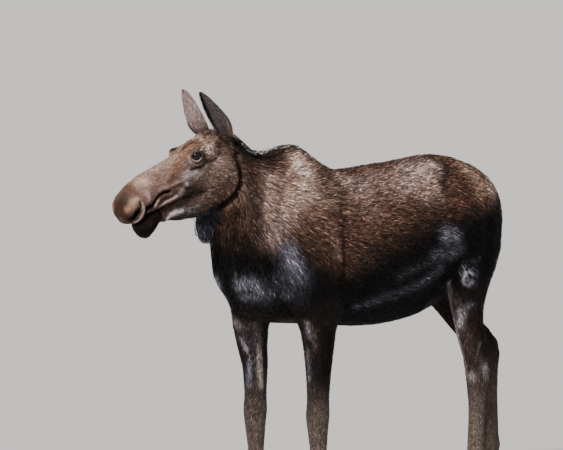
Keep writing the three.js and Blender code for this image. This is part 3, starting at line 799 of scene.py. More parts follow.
HEAD_MARKINGS = markings(
    HEAD,
    # cheek, grizzled above and in painted shade below
    ("8a7166", 62, 0.80, (-130, -130), (-200, -130)),
    ("9c8478", 34, 0.80, (-100, -105), (-140, -85)),
    ("664e43", 36, 0.80, (-85, -225), (-175, -230)),
    ("64534f", 26, 0.70, (-270, -210), (-325, -250)),
    ("33231b", 24, 0.75, (-245, -155), (-320, -145), (-365, -165)),
    # nose and muzzle, with a painted highlight on the top of the nose
    ("9f8074", 75, 0.95, (30, -300, 15), (45, -400, 20), (60, -500, 10)),
    ("bf9f92", 30, 0.90, (10, -255, 15), (15, -355, 25), (20, -445, 35)),
    ("8e7163", 26, 0.75, (55, -425, 5), (60, -375, 0)),
    ("a3867b", 22, 0.75, (65, -405, -15), (65, -345, -5)),
    ("e6c3b2", 25, 0.92, (30, -495, 35), (45, -485, 25)),
    ("ae9489", 24, 0.85, (50, -520, 15), (65, -510, 0)),
    ("7b5f54", 17, 0.70, (65, -485, -20), (65, -460, -30)),
    ("35221a", 50, 0.94, (-10, -620, -10), (20, -630, -25), (30, -640, -55)),
    ("6e4d3e", 17, 0.92, (0, -550, 30), (35, -555, 20), (55, -560, 5)),
    ("c3a28f", 16, 0.92, (65, -570, -10), (60, -590, -10)),
    ("9c7866", 16, 0.90, (65, -600, -25), (50, -625, -30)),
    ("5d504c", 15, 0.80, (-10, -645, -75), (20, -640, -85), (35, -620, -105)),
    # upper lip: the bump behind the nostril and the folds, with painted highlights on the bump and the lit
    # rolls, and painted shade in the deep crease behind the muzzle, in the grooves and under the muzzle
    ("b3968b", 13, 0.90, *LIP_BUMP),
    ("795f57", 12, 0.80, (-524, -52), (-502, -52)),
    ("040303", 11, 0.97, *LIP_CREASE),
    ("050404", 11, 0.96, *LIP_WEDGE),
    ("7c5b49", 8, 0.90, *LIP_ROLL[:4]),
    ("c6a796", 5, 0.90, *LIP_ROLL[3:]),
    ("46291b", 5, 0.80, *LIP_LINE),
    ("c0a59d", 8, 0.92, *LIP_EDGE[:4]),
    ("82695f", 7, 0.85, LIP_EDGE[4], (-524, -96), (-548, -88)),
    ("3a261c", 8, 0.80, *CHEEK_LINE),
    ("705c52", 9, 0.75, (-336, -164), (-368, -162), (-396, -160)),
    ("0c0909", 14, 0.95, (-440, -130), (-490, -120), (-555, -125), (-595, -130)),
    # nostril: painted shade in its slit and opening, and its rim
    ("b2968c", 6, 0.92, *NOSTRIL_RIM),
    ("030202", 7, 0.98, *NOSTRIL_SLIT),
    ("030202", 14, 1.00, *NOSTRIL_OPENING),
    # chin, jaw and throat: painted shade on the chin, in the corner of the mouth and under the jaw, and a
    # painted highlight along the lit edge of the jaw
    ("141010", 42, 0.95, (-500, -170), (-545, -195), (-590, -175)),
    ("54443f", 7, 0.80, *CORNER_ROLL),
    ("1a1312", 6, 0.80, *MOUTH_CORNER),
    ("d9caca", 11, 0.92, (-440, -190), *JAW_EDGE[1:3]),
    ("bcb0b2", 13, 0.85, *JAW_EDGE[2:]),
    ("5f5a60", 18, 0.70, (-355, -210), (-310, -220)),
    ("1a1512", 15, 0.80, (-440, -205), (-375, -230), (-280, -275), (-180, -290), (-115, -275)),
    # bar below the eye, knobs and crest of the cheek, with painted highlights on them and painted shade in
    # the groove between the knobs
    ("9b8580", 10, 0.85, *FACE_CREST[:3]),
    ("a1857d", 10, 0.80, *FACE_CREST[2:]),
    ("bba8aa", 13, 0.88, (-305, -90)),
    ("ad9594", 15, 0.88, (-340, -105), (-350, -115)),
    ("2d1e18", 7, 0.75, *KNOB_LINE, (-268, -124)),
    # forehead and brow
) + markings(
    HEAD,
    ("ab9187", 34, 0.85, (30, -205, 15), (15, -110, 15)),
    side=Side.RIGHT,
) + markings(
    HEAD,
    ("96725b", 34, 0.90, (30, -215, 15), (30, -125, 15)),
    ("a98a79", 26, 0.90, (55, -90, 10), (70, -110, -5)),
    # a painted shadow line along the middle of the forehead
    ("3a2721", 6, 0.88, (1, -210, 21), (7, -188, 21), (7, -164, 21), (1, -139, 21)),
    ("9f7762", 16, 0.90, (25, -235, 15), (40, -265, 10)),
    ("835b45", 15, 0.92, (55, -295, 0), (65, -325, -15)),
    ("68442f", 14, 0.92, (70, -350, -20), (70, -380, -35)),
    ("d9bcae", 5, 0.92, (0, -97, 17), (24, -112, 17), (47, -120, 11), (73, -142, -9),
     (80, -146, -19)),
    ("dcc8bc", 5, 0.92, (75, -170, 0), (66, -155, 1), (62, -145, 2)),
    ("1e130e", 4, 0.92, (72, -177, 4), (59, -157, 6), (57, -146, 6)),
    ("aa8e85", 13, 0.85, (-140, -24), (-124, -36)),
    ("c9ab9b", 10, 0.80, (76, -102, -10), (74, -128, -8)),
    # round the eye, with painted shade in the groove of the socket's rear rim and in the groove behind the
    # eye
    ("b0948e", 6, 0.88, (60, -236, -5), (67, -240, -14), (71, -236, -22)),
    ("8f7875", 9, 0.80, (-250, -20), (-272, -32), (-292, -36)),
    ("bba9ae", 17, 0.92, (-300, -55), (-270, -60), (-245, -70)),
    ("806c68", 13, 0.80, (-262, -88), (-232, -96)),
    ("110b0a", 8, 0.96, *SOCKET_EDGE),
    ("241918", 7, 0.80, (-174, -36), (-170, -24), (-176, -8)),
    ("7d6765", 6, 0.80, (-236, -34), (-221, -42), (-201, -46)),
    ("8f7f7d", 7, 0.80, (-182, -68), (-198, -80), (-218, -88)),
    ("1c1312", 8, 0.90, *BEHIND_EYE[:3]),
    # rear edge of the cheek: painted shade in its groove
    ("0a0807", 8, 0.92, *CHEEK_GROOVE),
)

# at the foot of the ears: the black front rim running down, painted shadow under the ear and a paler line
EAR_FOOT_MARKINGS = markings(
    HEAD,
    ("0d0b0c", 7, 0.95, (92, -72, 56), (88, -68, 10), (88, -72, -24)),
    ("2b2427", 20, 0.92, (75, -20, 15), (80, -20, -15), (80, -20, -35)),
    ("8b7a75", 6, 0.80, (78, -2, -52), (64, 16, -78)),
)

BLACK_COAT, BROWN_COAT, FACE_COAT = linear("0b090a"), linear("604639"), linear("5a473e")
BROWN_SHANK, PALE_SHANK = linear("2e2321"), linear("6d5f58")
# the ears: a pale back, an inside of dark hair and painted shade, and a black rim and tip
EAR_BACK, EAR_INSIDE_AND_SHADE, EAR_RIM = linear("8f7c7a"), linear("463e3d"), linear("0d0b0c")
EAR_ROOT = linear("5e4f4d")
BELL_AND_TAIL = linear("36343c")


# where the front edge of the left and the right ear lies in the head's own frame
EAR_FRONTS = (-0.050, -0.068)

# how much of the legs' brown shows, how much painted shade darkens the grooves of the face and how much
# painted highlight pales its ridges
BROWNED, GROOVE_PAINTED_SHADE, RIDGE_PAINTED_HIGHLIGHT = 0.55, 0.85, 0.30


def ear_colour(points: np.ndarray, normals: np.ndarray) -> np.ndarray:
    """Returns the colour of the ears: pale behind, dark within with painted shade in the hollow, and a
    black front rim and tip; within the ear the rim also paints the shadow behind it.
    """
    places = HEAD.local(points)
    outward = (normals @ HEAD.turn)[:, 0] * np.sign(places[:, 0])
    within = ease(-0.05, 0.35, outward)
    colours = mixed(EAR_ROOT, EAR_BACK, ease(0.00, 0.09, places[:, 2]))
    colours = mixed(colours, EAR_INSIDE_AND_SHADE, within)
    front_edge = np.where(places[:, 0] > 0, *EAR_FRONTS)
    rim = 1 - ease(0.0, 0.012, places[:, 1] - front_edge)
    tip = ease(0.205, 0.235, places[:, 2])
    return mixed(colours, EAR_RIM, np.maximum(rim * within, tip * 0.85))


def marked(markings: tuple[Marking, ...], points: np.ndarray, colours: np.ndarray) -> np.ndarray:
    """Returns the colours with markings laid over them, one after the other."""
    for marking in markings:
        colours = marking.laid(points, colours)
    return colours


def leg_colour(points: np.ndarray, colours: np.ndarray) -> np.ndarray:
    """Returns the colours of the lower body with the browner, paler coat of the legs laid over them."""
    along, height = points[:, 1], points[:, 2]
    between_legs = ease(-0.14, -0.06, along) * (1 - ease(0.50, 0.58, along))
    belly = between_legs * ease(0.80, 0.90, height)
    shank = mixed(colours, BROWN_SHANK, BROWNED * (1 - ease(0.95, 1.10, height)) * (1 - belly))
    shank = mixed(shank, PALE_SHANK, np.interp(height, *zip(*PALE_SHANKS)))
    return marked(LEG_MARKINGS, points, shank)


def face_colour(points: np.ndarray) -> np.ndarray:
    """Returns the colours of the head, with painted shade in its grooves and painted highlights on its
    ridges.
    """
    face = marked(HEAD_MARKINGS, points, np.tile(FACE_COAT, (len(points), 1)))
    lift = sum(fold.height(points) for fold in HEAD_FOLDS)
    darker, paler = GROOVE_PAINTED_SHADE * ease(0.002, 0.009, -lift), RIDGE_PAINTED_HIGHLIGHT * ease(0.002, 0.007, lift)
    return face * (1 - darker + paler)[:, None]


def coat_colour(points: np.ndarray, normals: np.ndarray) -> np.ndarray:
    """Works out the colour of the coat, the same for hide and tufts.

    Args:
        points: Places on the hide.
        normals: The ways out of it there.

    Returns:
        The colour at each point.
    """
    limit = np.interp(points[:, 1], *zip(*DARK_BELOW))
    colours = mixed(BLACK_COAT, BROWN_COAT, ease(-0.10, 0.12, points[:, 2] - limit))
    colours = marked(BODY_MARKINGS + WHORL_MARKINGS, points, colours)
    low = points[:, 2] < LEGS_BELOW
    colours[low] = leg_colour(points[low], colours[low])
    places = HEAD.local(points)
    on_head = head_share(places, (-0.040, 0.012), (-0.34, -0.29))
    near = on_head > 0.001
    colours[near] = mixed(colours[near], face_colour(points[near]), on_head[near])
    for part in PARTS:
        inside = part.holds(points)
        if part.node.startswith("ear"):
            inside &= places[:, 2] > 0.0
            ear = ear_colour(points[inside], normals[inside])
            colours[inside] = mixed(colours[inside], ear, ease(0.000, 0.022, places[inside, 2]))
        else:
            colours[inside] = BELL_AND_TAIL
    colours[near] = marked(EAR_FOOT_MARKINGS, points[near], colours[near])
    return colours


# ---------------------------------------------------------------- the hide


@dataclass
class Hide:
    """The skin of the whole animal, melted out of the solids of flesh."""

    voxel: float = 0.004
    overlap: float = 0.0006
    melting: int = 30
    kept_faces: int = 190_000
    thinning_of_head: float = 0.25
    firmness_of_head: float = 0.62
    softness_of_parts: float = 0.15

    def flesh(self) -> list[str]:
        """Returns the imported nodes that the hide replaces."""
        return sorted(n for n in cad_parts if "claw" not in n and not n.startswith("eye"))

    def melted(self) -> bpy.types.Mesh:
        """Joins the solids of flesh and the eyeballs into one closed surface of small squares."""
        parts = [node_solid(n, self.overlap) for n in (*self.flesh(), "eye_left", "eye_right")]
        starts = np.cumsum([0] + [len(points) for points, _ in parts])
        points = np.vstack([points for points, _ in parts])
        faces = np.vstack([faces + start for (_, faces), start in zip(parts, starts)])
        flesh = mesh_object("flesh", points, faces)
        mesh = with_modifier(flesh, "REMESH", mode="VOXEL", voxel_size=self.voxel)
        label = Surface.read(mesh).pieces()
        body = np.bincount(label).argmax()
        work = bmesh.new()
        work.from_mesh(mesh)
        loose = [v for v, number in zip(work.verts, label.tolist()) if number != body]
        bmesh.ops.delete(work, geom=loose, context="VERTS")
        self.refine(work)
        work.to_mesh(mesh)
        work.free()
        return mesh

    def refine(self, work: bmesh.types.BMesh) -> None:
        """Halves the squares of the head, where the small forms are."""
        places = HEAD.local(np.array([v.co for v in work.verts]))
        chosen = in_head(places).tolist()
        work.verts.index_update()
        edges = [e for e in work.edges if chosen[e.verts[0].index] and chosen[e.verts[1].index]]
        bmesh.ops.subdivide_edges(work, edges=edges, cuts=1, use_grid_fill=True)

    def shape(self, surface: Surface) -> None:
        """Melts the joins, draws the hide in by the coat's depth and sets the folds and lids."""
        head = head_share(HEAD.local(surface.points), (-0.03, 0.05), (-0.34, -0.28))
        share = 1 - self.firmness_of_head * head
        for part in PARTS:
            share[part.holds(surface.points)] = self.softness_of_parts
        surface.smooth(share, self.melting)
        _, _, depth = coat_growth(surface.points)
        surface.points -= surface.normals() * depth[:, None]
        surface.smooth(share, 3)
        normals = surface.normals()
        lift = sum(fold.height(surface.points) for fold in HEAD_FOLDS + BODY_FOLDS)
        surface.points += normals * lift[:, None]
        surface.smooth(np.minimum(share, 0.5), 2)
        for eye in EYES:
            self.set_lids(surface, eye)

    def set_lids(self, surface: Surface, eye: EyePlace) -> None:
        """Opens the hide over an eye and lays the lids round it.

        Args:
            surface: The hide's surface, whose points are moved.
            eye: The eye's place.
        """
        axes = eye.axes()
        places = axes.local(surface.points)
        near = (np.linalg.norm(places[:, :2], axis=1) < 0.055) & (places[:, 2] > -0.015)
        spot = places[near]
        opening = eye.openness(spot)
        lid = eye.radius + eye.lid_thickness
        over = np.sqrt(np.maximum(lid**2 - spot[:, 0] ** 2 - spot[:, 1] ** 2, eye.lid_flat**2))
        crease = np.where(spot[:, 1] > 0, *eye.creases)
        over -= eye.crease_depth * bell(opening - crease, eye.crease_width)
        over += eye.roll * bell(opening - crease - eye.roll_beyond_crease, eye.roll_width)
        over -= eye.roll * (1 - ease(1.0, 1.12, opening))
        height = over + (spot[:, 2] - over) * ease(*eye.lids_end, opening)
        inside = 1 - ease(0.90, 1.0, opening)
        spot[:, 2] = height * (1 - inside) + (eye.radius * eye.hollow) * inside
        places[near] = spot
        surface.points[near] = axes.placed(places[near])

    def lids_darkened(self, points: np.ndarray, colours: np.ndarray) -> np.ndarray:
        """Lays the black rims of the lids, the paler lower edge and the socket over the colours."""
        for eye in EYES:
            spot = eye.axes().local(points)
            opening = eye.openness(spot)
            near = (np.linalg.norm(spot[:, :2], axis=1) < 0.05) & (spot[:, 2] > -0.01)
            below = ease(0.002, 0.010, -spot[:, 1])
            black = (1 - ease(1.20, 1.42, opening)) * (1 - below) * near
            pink = (1 - ease(1.42, 1.62, opening)) * below * near * 0.8
            pale = bell(opening - 1.10, 0.09) * below * near * 0.9
            for colour, share in (("0b0808", black), ("8e7674", pink), ("cdbcbc", pale)):
                colours = mixed(colours, linear(colour), share)
        return colours

    def build(self) -> tuple[bpy.types.Object, Surface]:
        """Makes the hide.

        Returns:
            The hide as an object, and the finer surface that the tufts are rooted in.
        """
        mesh = self.melted()
        surface = Surface.read(mesh)
        LOG.info("hide: %d points before it is thinned out", len(surface.points))
        self.shape(surface)
        mesh.vertices.foreach_set("co", surface.points.astype(np.float32).ravel())
        mesh.update()
        rough = linked("rough_hide", mesh)
        places = HEAD.local(surface.points)
        fine = rough.vertex_groups.new(name="fine")
        head = in_head(places)
        fine.add(np.flatnonzero(~head).tolist(), 1.0, "REPLACE")
        fine.add(np.flatnonzero(head).tolist(), self.thinning_of_head, "REPLACE")
        ratio = self.kept_faces / len(surface.triangles)
        thinned = with_modifier(rough, "DECIMATE", ratio=ratio, vertex_group=fine.name,
                                vertex_group_factor=1.0)
        thinned.name = "hide"
        thinned.shade_smooth()
        made = linked("hide", thinned)
        shown = Surface.read(thinned)
        paint(thinned, self.lids_darkened(shown.points, coat_colour(shown.points, shown.normals())))
        thinned.materials.append(HIDE_FINISH.material())
        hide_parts(*self.flesh())
        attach(made, BODY)
        return made, surface


def paint(mesh: bpy.types.Mesh, colours: np.ndarray) -> None:
    """Stores a linear colour for each point of a mesh, which its material reads."""
    layer = mesh.attributes.new(COAT_COLOUR, "FLOAT_COLOR", "POINT")
    full = np.concatenate([np.clip(colours, 0, 1), np.ones((len(colours), 1))], axis=1)
    layer.data.foreach_set("color", full.astype(np.float32).ravel())


# ---------------------------------------------------------------- finishes


class Build:
    """Short ways to add shader nodes to a tree."""

    def __init__(self, tree: bpy.types.NodeTree) -> None:
        """Takes the tree that nodes are added to."""
        self.tree = tree

    def node(self, kind: str, **settings: object) -> bpy.types.Node:
        """Adds a node and sets its own settings."""
        made = self.tree.nodes.new(kind)
        for key, value in settings.items():
            setattr(made, key, value)
        return made

    def link(self, source: bpy.types.NodeSocket, target: bpy.types.NodeSocket) -> None:
        """Joins two sockets."""
        self.tree.links.new(source, target)

    def math(self, operation: str, first: object, second: object) -> bpy.types.NodeSocket:
        """Adds a sum of two sockets or numbers and returns what it gives."""
        made = self.node("ShaderNodeMath", operation=operation)
        for slot, value in enumerate((first, second)):
            if isinstance(value, bpy.types.NodeSocket):
                self.link(value, made.inputs[slot])
            else:
                made.inputs[slot].default_value = value
        return made.outputs[0]


def mottle_group() -> bpy.types.NodeTree:
    """Returns the group that varies a colour in soft patches and fine grains, made once."""
    if "mottle" in bpy.data.node_groups:
        return bpy.data.node_groups["mottle"]
    tree = bpy.data.node_groups.new("mottle", "ShaderNodeTree")
    tree.interface.new_socket("Colour", in_out="INPUT", socket_type="NodeSocketColor")
    for label, value in (("Patch size", 12.0), ("Grain size", 260.0), ("Contrast", 0.3)):
        socket = tree.interface.new_socket(label, in_out="INPUT", socket_type="NodeSocketFloat")
        socket.default_value = value
    for label, kind in (("Colour", "NodeSocketColor"), ("Grain", "NodeSocketFloat")):
        tree.interface.new_socket(label, in_out="OUTPUT", socket_type=kind)
    make = Build(tree)
    given, result = make.node("NodeGroupInput"), make.node("NodeGroupOutput")
    place = make.node("ShaderNodeTexCoord").outputs["Object"]
    patches, grains = make.node("ShaderNodeTexNoise"), make.node("ShaderNodeTexNoise")
    for noise, size, detail in ((patches, "Patch size", 3.0), (grains, "Grain size", 2.0)):
        make.link(place, noise.inputs["Vector"])
        make.link(given.outputs[size], noise.inputs["Scale"])
        noise.inputs["Detail"].default_value = detail
    both = make.math("ADD", patches.outputs["Fac"], grains.outputs["Fac"])
    swing = make.math("MULTIPLY", make.math("SUBTRACT", both, 1.0), given.outputs["Contrast"])
    shade = make.node("ShaderNodeVectorMath", operation="SCALE")
    make.link(given.outputs["Colour"], shade.inputs[0])
    make.link(make.math("ADD", swing, 1.0), shade.inputs["Scale"])
    make.link(shade.outputs[0], result.inputs["Colour"])
    make.link(grains.outputs["Fac"], result.inputs["Grain"])
    return tree


@dataclass(frozen=True)
class Finish:
    """A surface finish, mottled in its colour, which is painted on the points if it is not given.

    Attributes:
        name: The material's name.
        mottle: How many patches and grains there are to a metre, and how much they differ.
        roughness: How matt it is.
        specular: How much it shines.
        nap: How far the grains stand out, in metres.
        colour: The colour, if it is the same all over.
    """

    name: str
    mottle: tuple[float, float, float]
    roughness: float
    specular: float = 0.5
    nap: float = 0.0
    colour: tuple[float, float, float] | None = None

    def material(self) -> bpy.types.Material:
        """Returns the finish's material, made once."""
        if self.name in bpy.data.materials:
            return bpy.data.materials[self.name]
        made = bpy.data.materials.new(self.name)
        made.use_nodes = True
        self.dress(Build(made.node_tree), made.node_tree.nodes["Principled BSDF"])
        return made

    def dress(self, make: Build, shader: bpy.types.Node) -> None:
        """Sets up the shader."""
        group = make.node("ShaderNodeGroup", node_tree=mottle_group())
        for label, value in zip(("Patch size", "Grain size", "Contrast"), self.mottle):
            group.inputs[label].default_value = value
        if self.colour is None:
            painted = make.node("ShaderNodeAttribute", attribute_name=COAT_COLOUR)
            make.link(painted.outputs["Color"], group.inputs["Colour"])
        else:
            group.inputs["Colour"].default_value = (*self.colour, 1)
        make.link(group.outputs["Colour"], shader.inputs["Base Color"])
        shader.inputs["Roughness"].default_value = self.roughness
        shader.inputs["Specular IOR Level"].default_value = self.specular
        if self.nap:
            bump = make.node("ShaderNodeBump")
            bump.inputs["Distance"].default_value = self.nap
            bump.inputs["Strength"].default_value = 1.0
            make.link(self.height(make, group.outputs["Grain"]), bump.inputs["Height"])
            make.link(bump.outputs["Normal"], shader.inputs["Normal"])

    def height(self, make: Build, grain_height: bpy.types.NodeSocket) -> bpy.types.NodeSocket:
        """Returns what stands out on the surface: the grains alone."""
        return grain_height


@dataclass(frozen=True)
class RingedFinish(Finish):
    """A finish with rings of growth as well as grains."""

    rings: float = 70.0

    def height(self, make: Build, grain_height: bpy.types.NodeSocket) -> bpy.types.NodeSocket:
        """Returns what stands out on the surface: rings across the height, and the grains."""
        wave = make.node("ShaderNodeTexWave", bands_direction="Z")
        wave.inputs["Scale"].default_value = self.rings
        wave.inputs["Distortion"].default_value = 3.0
        make.link(make.node("ShaderNodeTexCoord").outputs["Object"], wave.inputs["Vector"])
        return make.math("ADD", make.math("MULTIPLY", wave.outputs["Fac"], 0.6), grain_height)


# the short coat seen as a surface, the tufts, the horn of the hooves, a wet eye and the floor
HIDE_FINISH = Finish("hide", (25.0, 420.0, 0.5), 0.60, 0.12, nap=0.0012)
COAT_FINISH = Finish("tufts", (18.0, 700.0, 0.35), 0.45, 0.12)
HORN_FINISH = RingedFinish("horn", (60.0, 500.0, 0.6), 0.55, nap=0.0008, colour=tuple(linear("2c2622")))
EYE_FINISH = Finish("wet_eye", (900.0, 1500.0, 0.5), 0.08, 0.25)
FLOOR_FINISH = Finish("studio_floor", (0.6, 4.0, 0.02), 0.9, colour=(0.46, 0.45, 0.44))


# ---------------------------------------------------------------- the coat


class Pelt(Enum):
    """A stretch of the coat that is unwrapped round one line."""

    HEAD = "head"
    EARS = "ears"
    NECK = "neck"
    TRUNK = "trunk"
    LEGS = "legs"


PELT_LINES = {
    Pelt.HEAD: HEAD.direction(0.0, 1.0, 0.0),
    Pelt.EARS: HEAD.direction(0.0, 0.0, 1.0),
    Pelt.NECK: (0.0, 0.55, -0.83),
    Pelt.TRUNK: (0.0, 1.0, 0.0),
    Pelt.LEGS: (0.0, 0.0, 1.0),
}

# the legs' pelt ends at this height, the neck's at this place along the body; the hind legs are behind
# the middle of the body
LEGS_TOP, NECK_REAR, MID_BODY = 0.93, -0.42, 0.3

# a slot name for each pelt, which is passed to its pieces and not used there
PELT_SLOTS = {Pelt.HEAD: "face_coat", Pelt.EARS: "ear_coat", Pelt.NECK: "body_coat",
              Pelt.TRUNK: "body_coat", Pelt.LEGS: "leg_coat"}


def pelts_of(points: np.ndarray) -> dict[Pelt, np.ndarray]:
    """Returns which points belong to each pelt."""
    places = HEAD.local(points)
    ears = PARTS[0].holds(points) | PARTS[1].holds(points)
    ears &= places[:, 2] > 0.0
    head = in_head(places) & ~ears
    legs = (points[:, 2] < LEGS_TOP) & ~head
    neck = (points[:, 1] < NECK_REAR) & ~head & ~ears & ~legs
    return {Pelt.HEAD: head, Pelt.EARS: ears, Pelt.NECK: neck, Pelt.LEGS: legs,
            Pelt.TRUNK: ~(head | ears | neck | legs)}


def ranked(values: np.ndarray) -> np.ndarray:
    """Returns each value's rank among all, from 0 to 1, so that the values spread evenly."""
    order = np.empty(len(values))
    order[np.argsort(values, kind="stable")] = np.arange(len(values))
    return order / max(len(values) - 1, 1)


def unwrapped(points: np.ndarray, line: tuple[float, float, float], bands: int = 60) -> np.ndarray:
    """Rolls a tube of skin out flat.

    Args:
        points: Places on the skin.
        line: The direction the tube runs in.
        bands: How many bands the tube's own middle is found in.

    Returns:
        Two columns, round the tube and along it, each from 0 to 1.
    """
    run = unit(np.array(line))
    side = unit(np.cross(run, [0.0, 0.31, 0.95]))
    rise = np.cross(side, run)
    along = points @ run
    edges = np.linspace(along.min(), along.max(), bands + 1)
    band = np.clip(np.digitize(along, edges) - 1, 0, bands - 1)
    count = np.maximum(np.bincount(band, minlength=bands), 1)
    middles = [np.interp(along, (edges[:-1] + edges[1:]) / 2, np.bincount(band, points @ a, bands) / count)
               for a in (side, rise)]
    angle = np.arctan2(points @ side - middles[0], middles[1] - points @ rise)
    return np.stack([ranked(angle), ranked(along)], axis=1)


@dataclass
class Roots:
    """Where tufts grow: a place on the hide, the way out of it and the way the hair lies."""

    place: np.ndarray
    normal: np.ndarray
    lie: np.ndarray
    length: np.ndarray
    depth: np.ndarray
    colour: np.ndarray

    def only(self, chosen: np.ndarray) -> "Roots":
        """Returns some of the roots."""
        return Roots(*(getattr(self, key)[chosen] for key in self.__dataclass_fields__))


# the nostril, where no tufts grow, with how far from it they stop
NAKED = ((in_metres(NOSTRIL_SLIT), 0.0070), (in_metres(NOSTRIL_OPENING), 0.0110))

# how far the lids stay bare, as openness
BARE_LIDS = 1.12

# one tuft is a closed sliver: root, left, ridge, right and tip
TUFT_FACES = np.array([(0, 2, 1), (0, 3, 2), (0, 1, 3), (4, 1, 2), (4, 2, 3), (4, 3, 1)])
TUFT_PATCH = np.array([(0, -1), (-1, 0), (0, 0), (1, 0), (0, 1)]) * 0.0015
TUFT_TONES = np.array([0.45, 0.90, 1.00, 0.90])

# how much of the unwrapped square stays empty at each edge, and beside each leg's or ear's column
EDGE, GAP = 0.01, 0.02


@dataclass
class Coat:
    """All the tufts, in pieces small enough to bake."""

    surface: Surface
    hide: bpy.types.Object
    tufts: int = 232_000
    most_in_piece: int = 33_000
    belly_of_tuft: float = 0.42
    arched: float = 0.80
    thick: float = 0.16
    root_sunk: float = 0.0008
    rolled: float = 0.35
    waving: float = 0.03
    astray: float = 0.12
    grizzled: float = 0.22
    streaked: float = 0.46
    varied: float = 0.50
    dimmed: float = 0.20
    tips_paler: tuple[float, float] = (2.1, 1.25)
    shown_at: float = 0.55

    def bare(self, points: np.ndarray) -> np.ndarray:
        """Returns which points grow no tufts: eyes, nostrils and the inside of the mouth."""
        places = HEAD.local(points)
        side_places = places.copy()
        side_places[:, 0] = np.abs(places[:, 0])
        bald = np.zeros(len(points), bool)
        for eye in EYES:
            spot = eye.axes().local(points)
            bald |= (eye.openness(spot) < BARE_LIDS) & (spot[:, 2] > -0.02) & (np.abs(spot[:, 0]) < 0.03)
        for path, width in NAKED:
            bald |= (path_distance(side_places, path) < width) & (side_places[:, 0] > 0.03)
        return bald & (places[:, 1] < 0.02)

    def grow(self) -> Roots:
        """Sows the roots over the hide, closer where the tufts are smaller."""
        dice = np.random.default_rng(SEED)
        surface = self.surface
        normals = surface.normals()
        _, length, _ = coat_growth(surface.points)
        corners = surface.points[surface.triangles]
        first_side, second_side = corners[:, 1] - corners[:, 0], corners[:, 2] - corners[:, 0]
        area = np.linalg.norm(np.cross(first_side, second_side), axis=1) / 2
        reach = length[surface.triangles].mean(axis=1)
        wanted = area / (reach * tuft_width(reach))
        wanted[self.bare(corners.mean(axis=1))] = 0
        wanted *= self.tufts / wanted.sum()
        count = np.floor(wanted + dice.random(len(wanted))).astype(int)
        chosen = np.repeat(np.arange(len(count)), count)
        first, second = dice.random(len(chosen)), dice.random(len(chosen))
        over = first + second > 1
        first[over], second[over] = 1 - first[over], 1 - second[over]
        shares = np.stack([1 - first - second, first, second], axis=1)[:, :, None]
        place = (corners[chosen] * shares).sum(axis=1)
        normal = unit((normals[surface.triangles[chosen]] * shares).sum(axis=1))
        lie, length, depth = coat_growth(place)
        length *= dice.uniform(0.75, 1.2, len(length))
        combed = self.combed(place, normal, lie, dice)
        colour = coat_colour(place + combed * (length * self.shown_at)[:, None], normal)
        return Roots(place, normal, combed, length, depth, colour)

    def combed(self, place: np.ndarray, normal: np.ndarray, lie: np.ndarray,
               dice: np.random.Generator) -> np.ndarray:
        """Lays the hair along the hide, waving a little from place to place and from tuft to tuft."""
        flat = unit(lie - normal * np.sum(lie * normal, axis=1)[:, None] + 1e-6)
        slow = np.sin(place @ np.array([31.0, 47.0, 38.0]))
        quick = np.sin(place @ np.array([-67.0, 29.0, 83.0]) + 1.7)
        turn = self.waving * (slow + quick) + dice.normal(0, self.astray, len(place))
        side = np.cross(flat, normal)
        return flat * np.cos(turn)[:, None] + side * np.sin(turn)[:, None]

    def tips(self, roots: Roots) -> tuple[np.ndarray, np.ndarray]:
        """Finds the place on the hide under each tip, and the way out of it."""
        tree = BVHTree.FromObject(self.hide, bpy.context.evaluated_depsgraph_get())
        ends = roots.place + roots.lie * roots.length[:, None]
        found = [tree.find_nearest(end)[:2] for end in ends.tolist()]
        places = np.array([tuple(place) for place, _ in found])
        normals = np.array([tuple(normal) for _, normal in found])
        return places, normals

    def shaped(self, roots: Roots, dice: np.random.Generator) -> np.ndarray:
        """Shapes the tufts.

        Args:
            roots: The roots of the tufts.
            dice: The source of their variation.

        Returns:
            Five points for each tuft: root, left, ridge, right and tip.
        """
        end, end_normal = self.tips(roots)
        size = len(roots.place)
        rise = roots.depth * dice.uniform(0.75, 1.2, size)
        bend = np.linalg.norm(end_normal - roots.normal, axis=1)
        middle_normal = unit(roots.normal + end_normal)
        tip = end + end_normal * rise[:, None]
        arch = rise * self.arched + roots.length * bend / 8
        middle = roots.place + (end - roots.place) * self.belly_of_tuft + middle_normal * arch[:, None]
        width = tuft_width(roots.length) * dice.uniform(0.8, 1.25, size)
        side = unit(np.cross(end - roots.place, middle_normal))
        roll = dice.normal(0, self.rolled, size)[:, None]
        across = side * np.cos(roll) + middle_normal * np.sin(roll)
        half = across * (width / 2)[:, None]
        thick = middle_normal * (width * self.thick)[:, None]
        root = roots.place - roots.normal * self.root_sunk
        return np.stack([root, middle - half - thick, middle + thick, middle + half - thick, tip], axis=1)

    def shades(self, roots: Roots, dice: np.random.Generator) -> np.ndarray:
        """Returns the colour of each tuft's five points: darker at the root, paler at the tip."""
        size = len(roots.place)
        long = ease(0.020, 0.034, roots.length)
        fine, wide = (streaks(roots.place, roots.lie, cell) for cell in (SHORT_LOCKS, LONG_LOCKS))
        locks = fine * (1 - long) + wide * long
        swing = self.streaked * ease(0.004, 0.026, roots.length)
        tone = np.exp(dice.normal(0, self.varied, size) + swing * locks - self.dimmed)
        pale = dice.random(size) < self.grizzled
        tip = np.where(pale, *self.tips_paler) * tone
        steps = np.column_stack([tone[:, None] * TUFT_TONES, tip])
        return roots.colour[:, None, :] * steps[:, :, None]

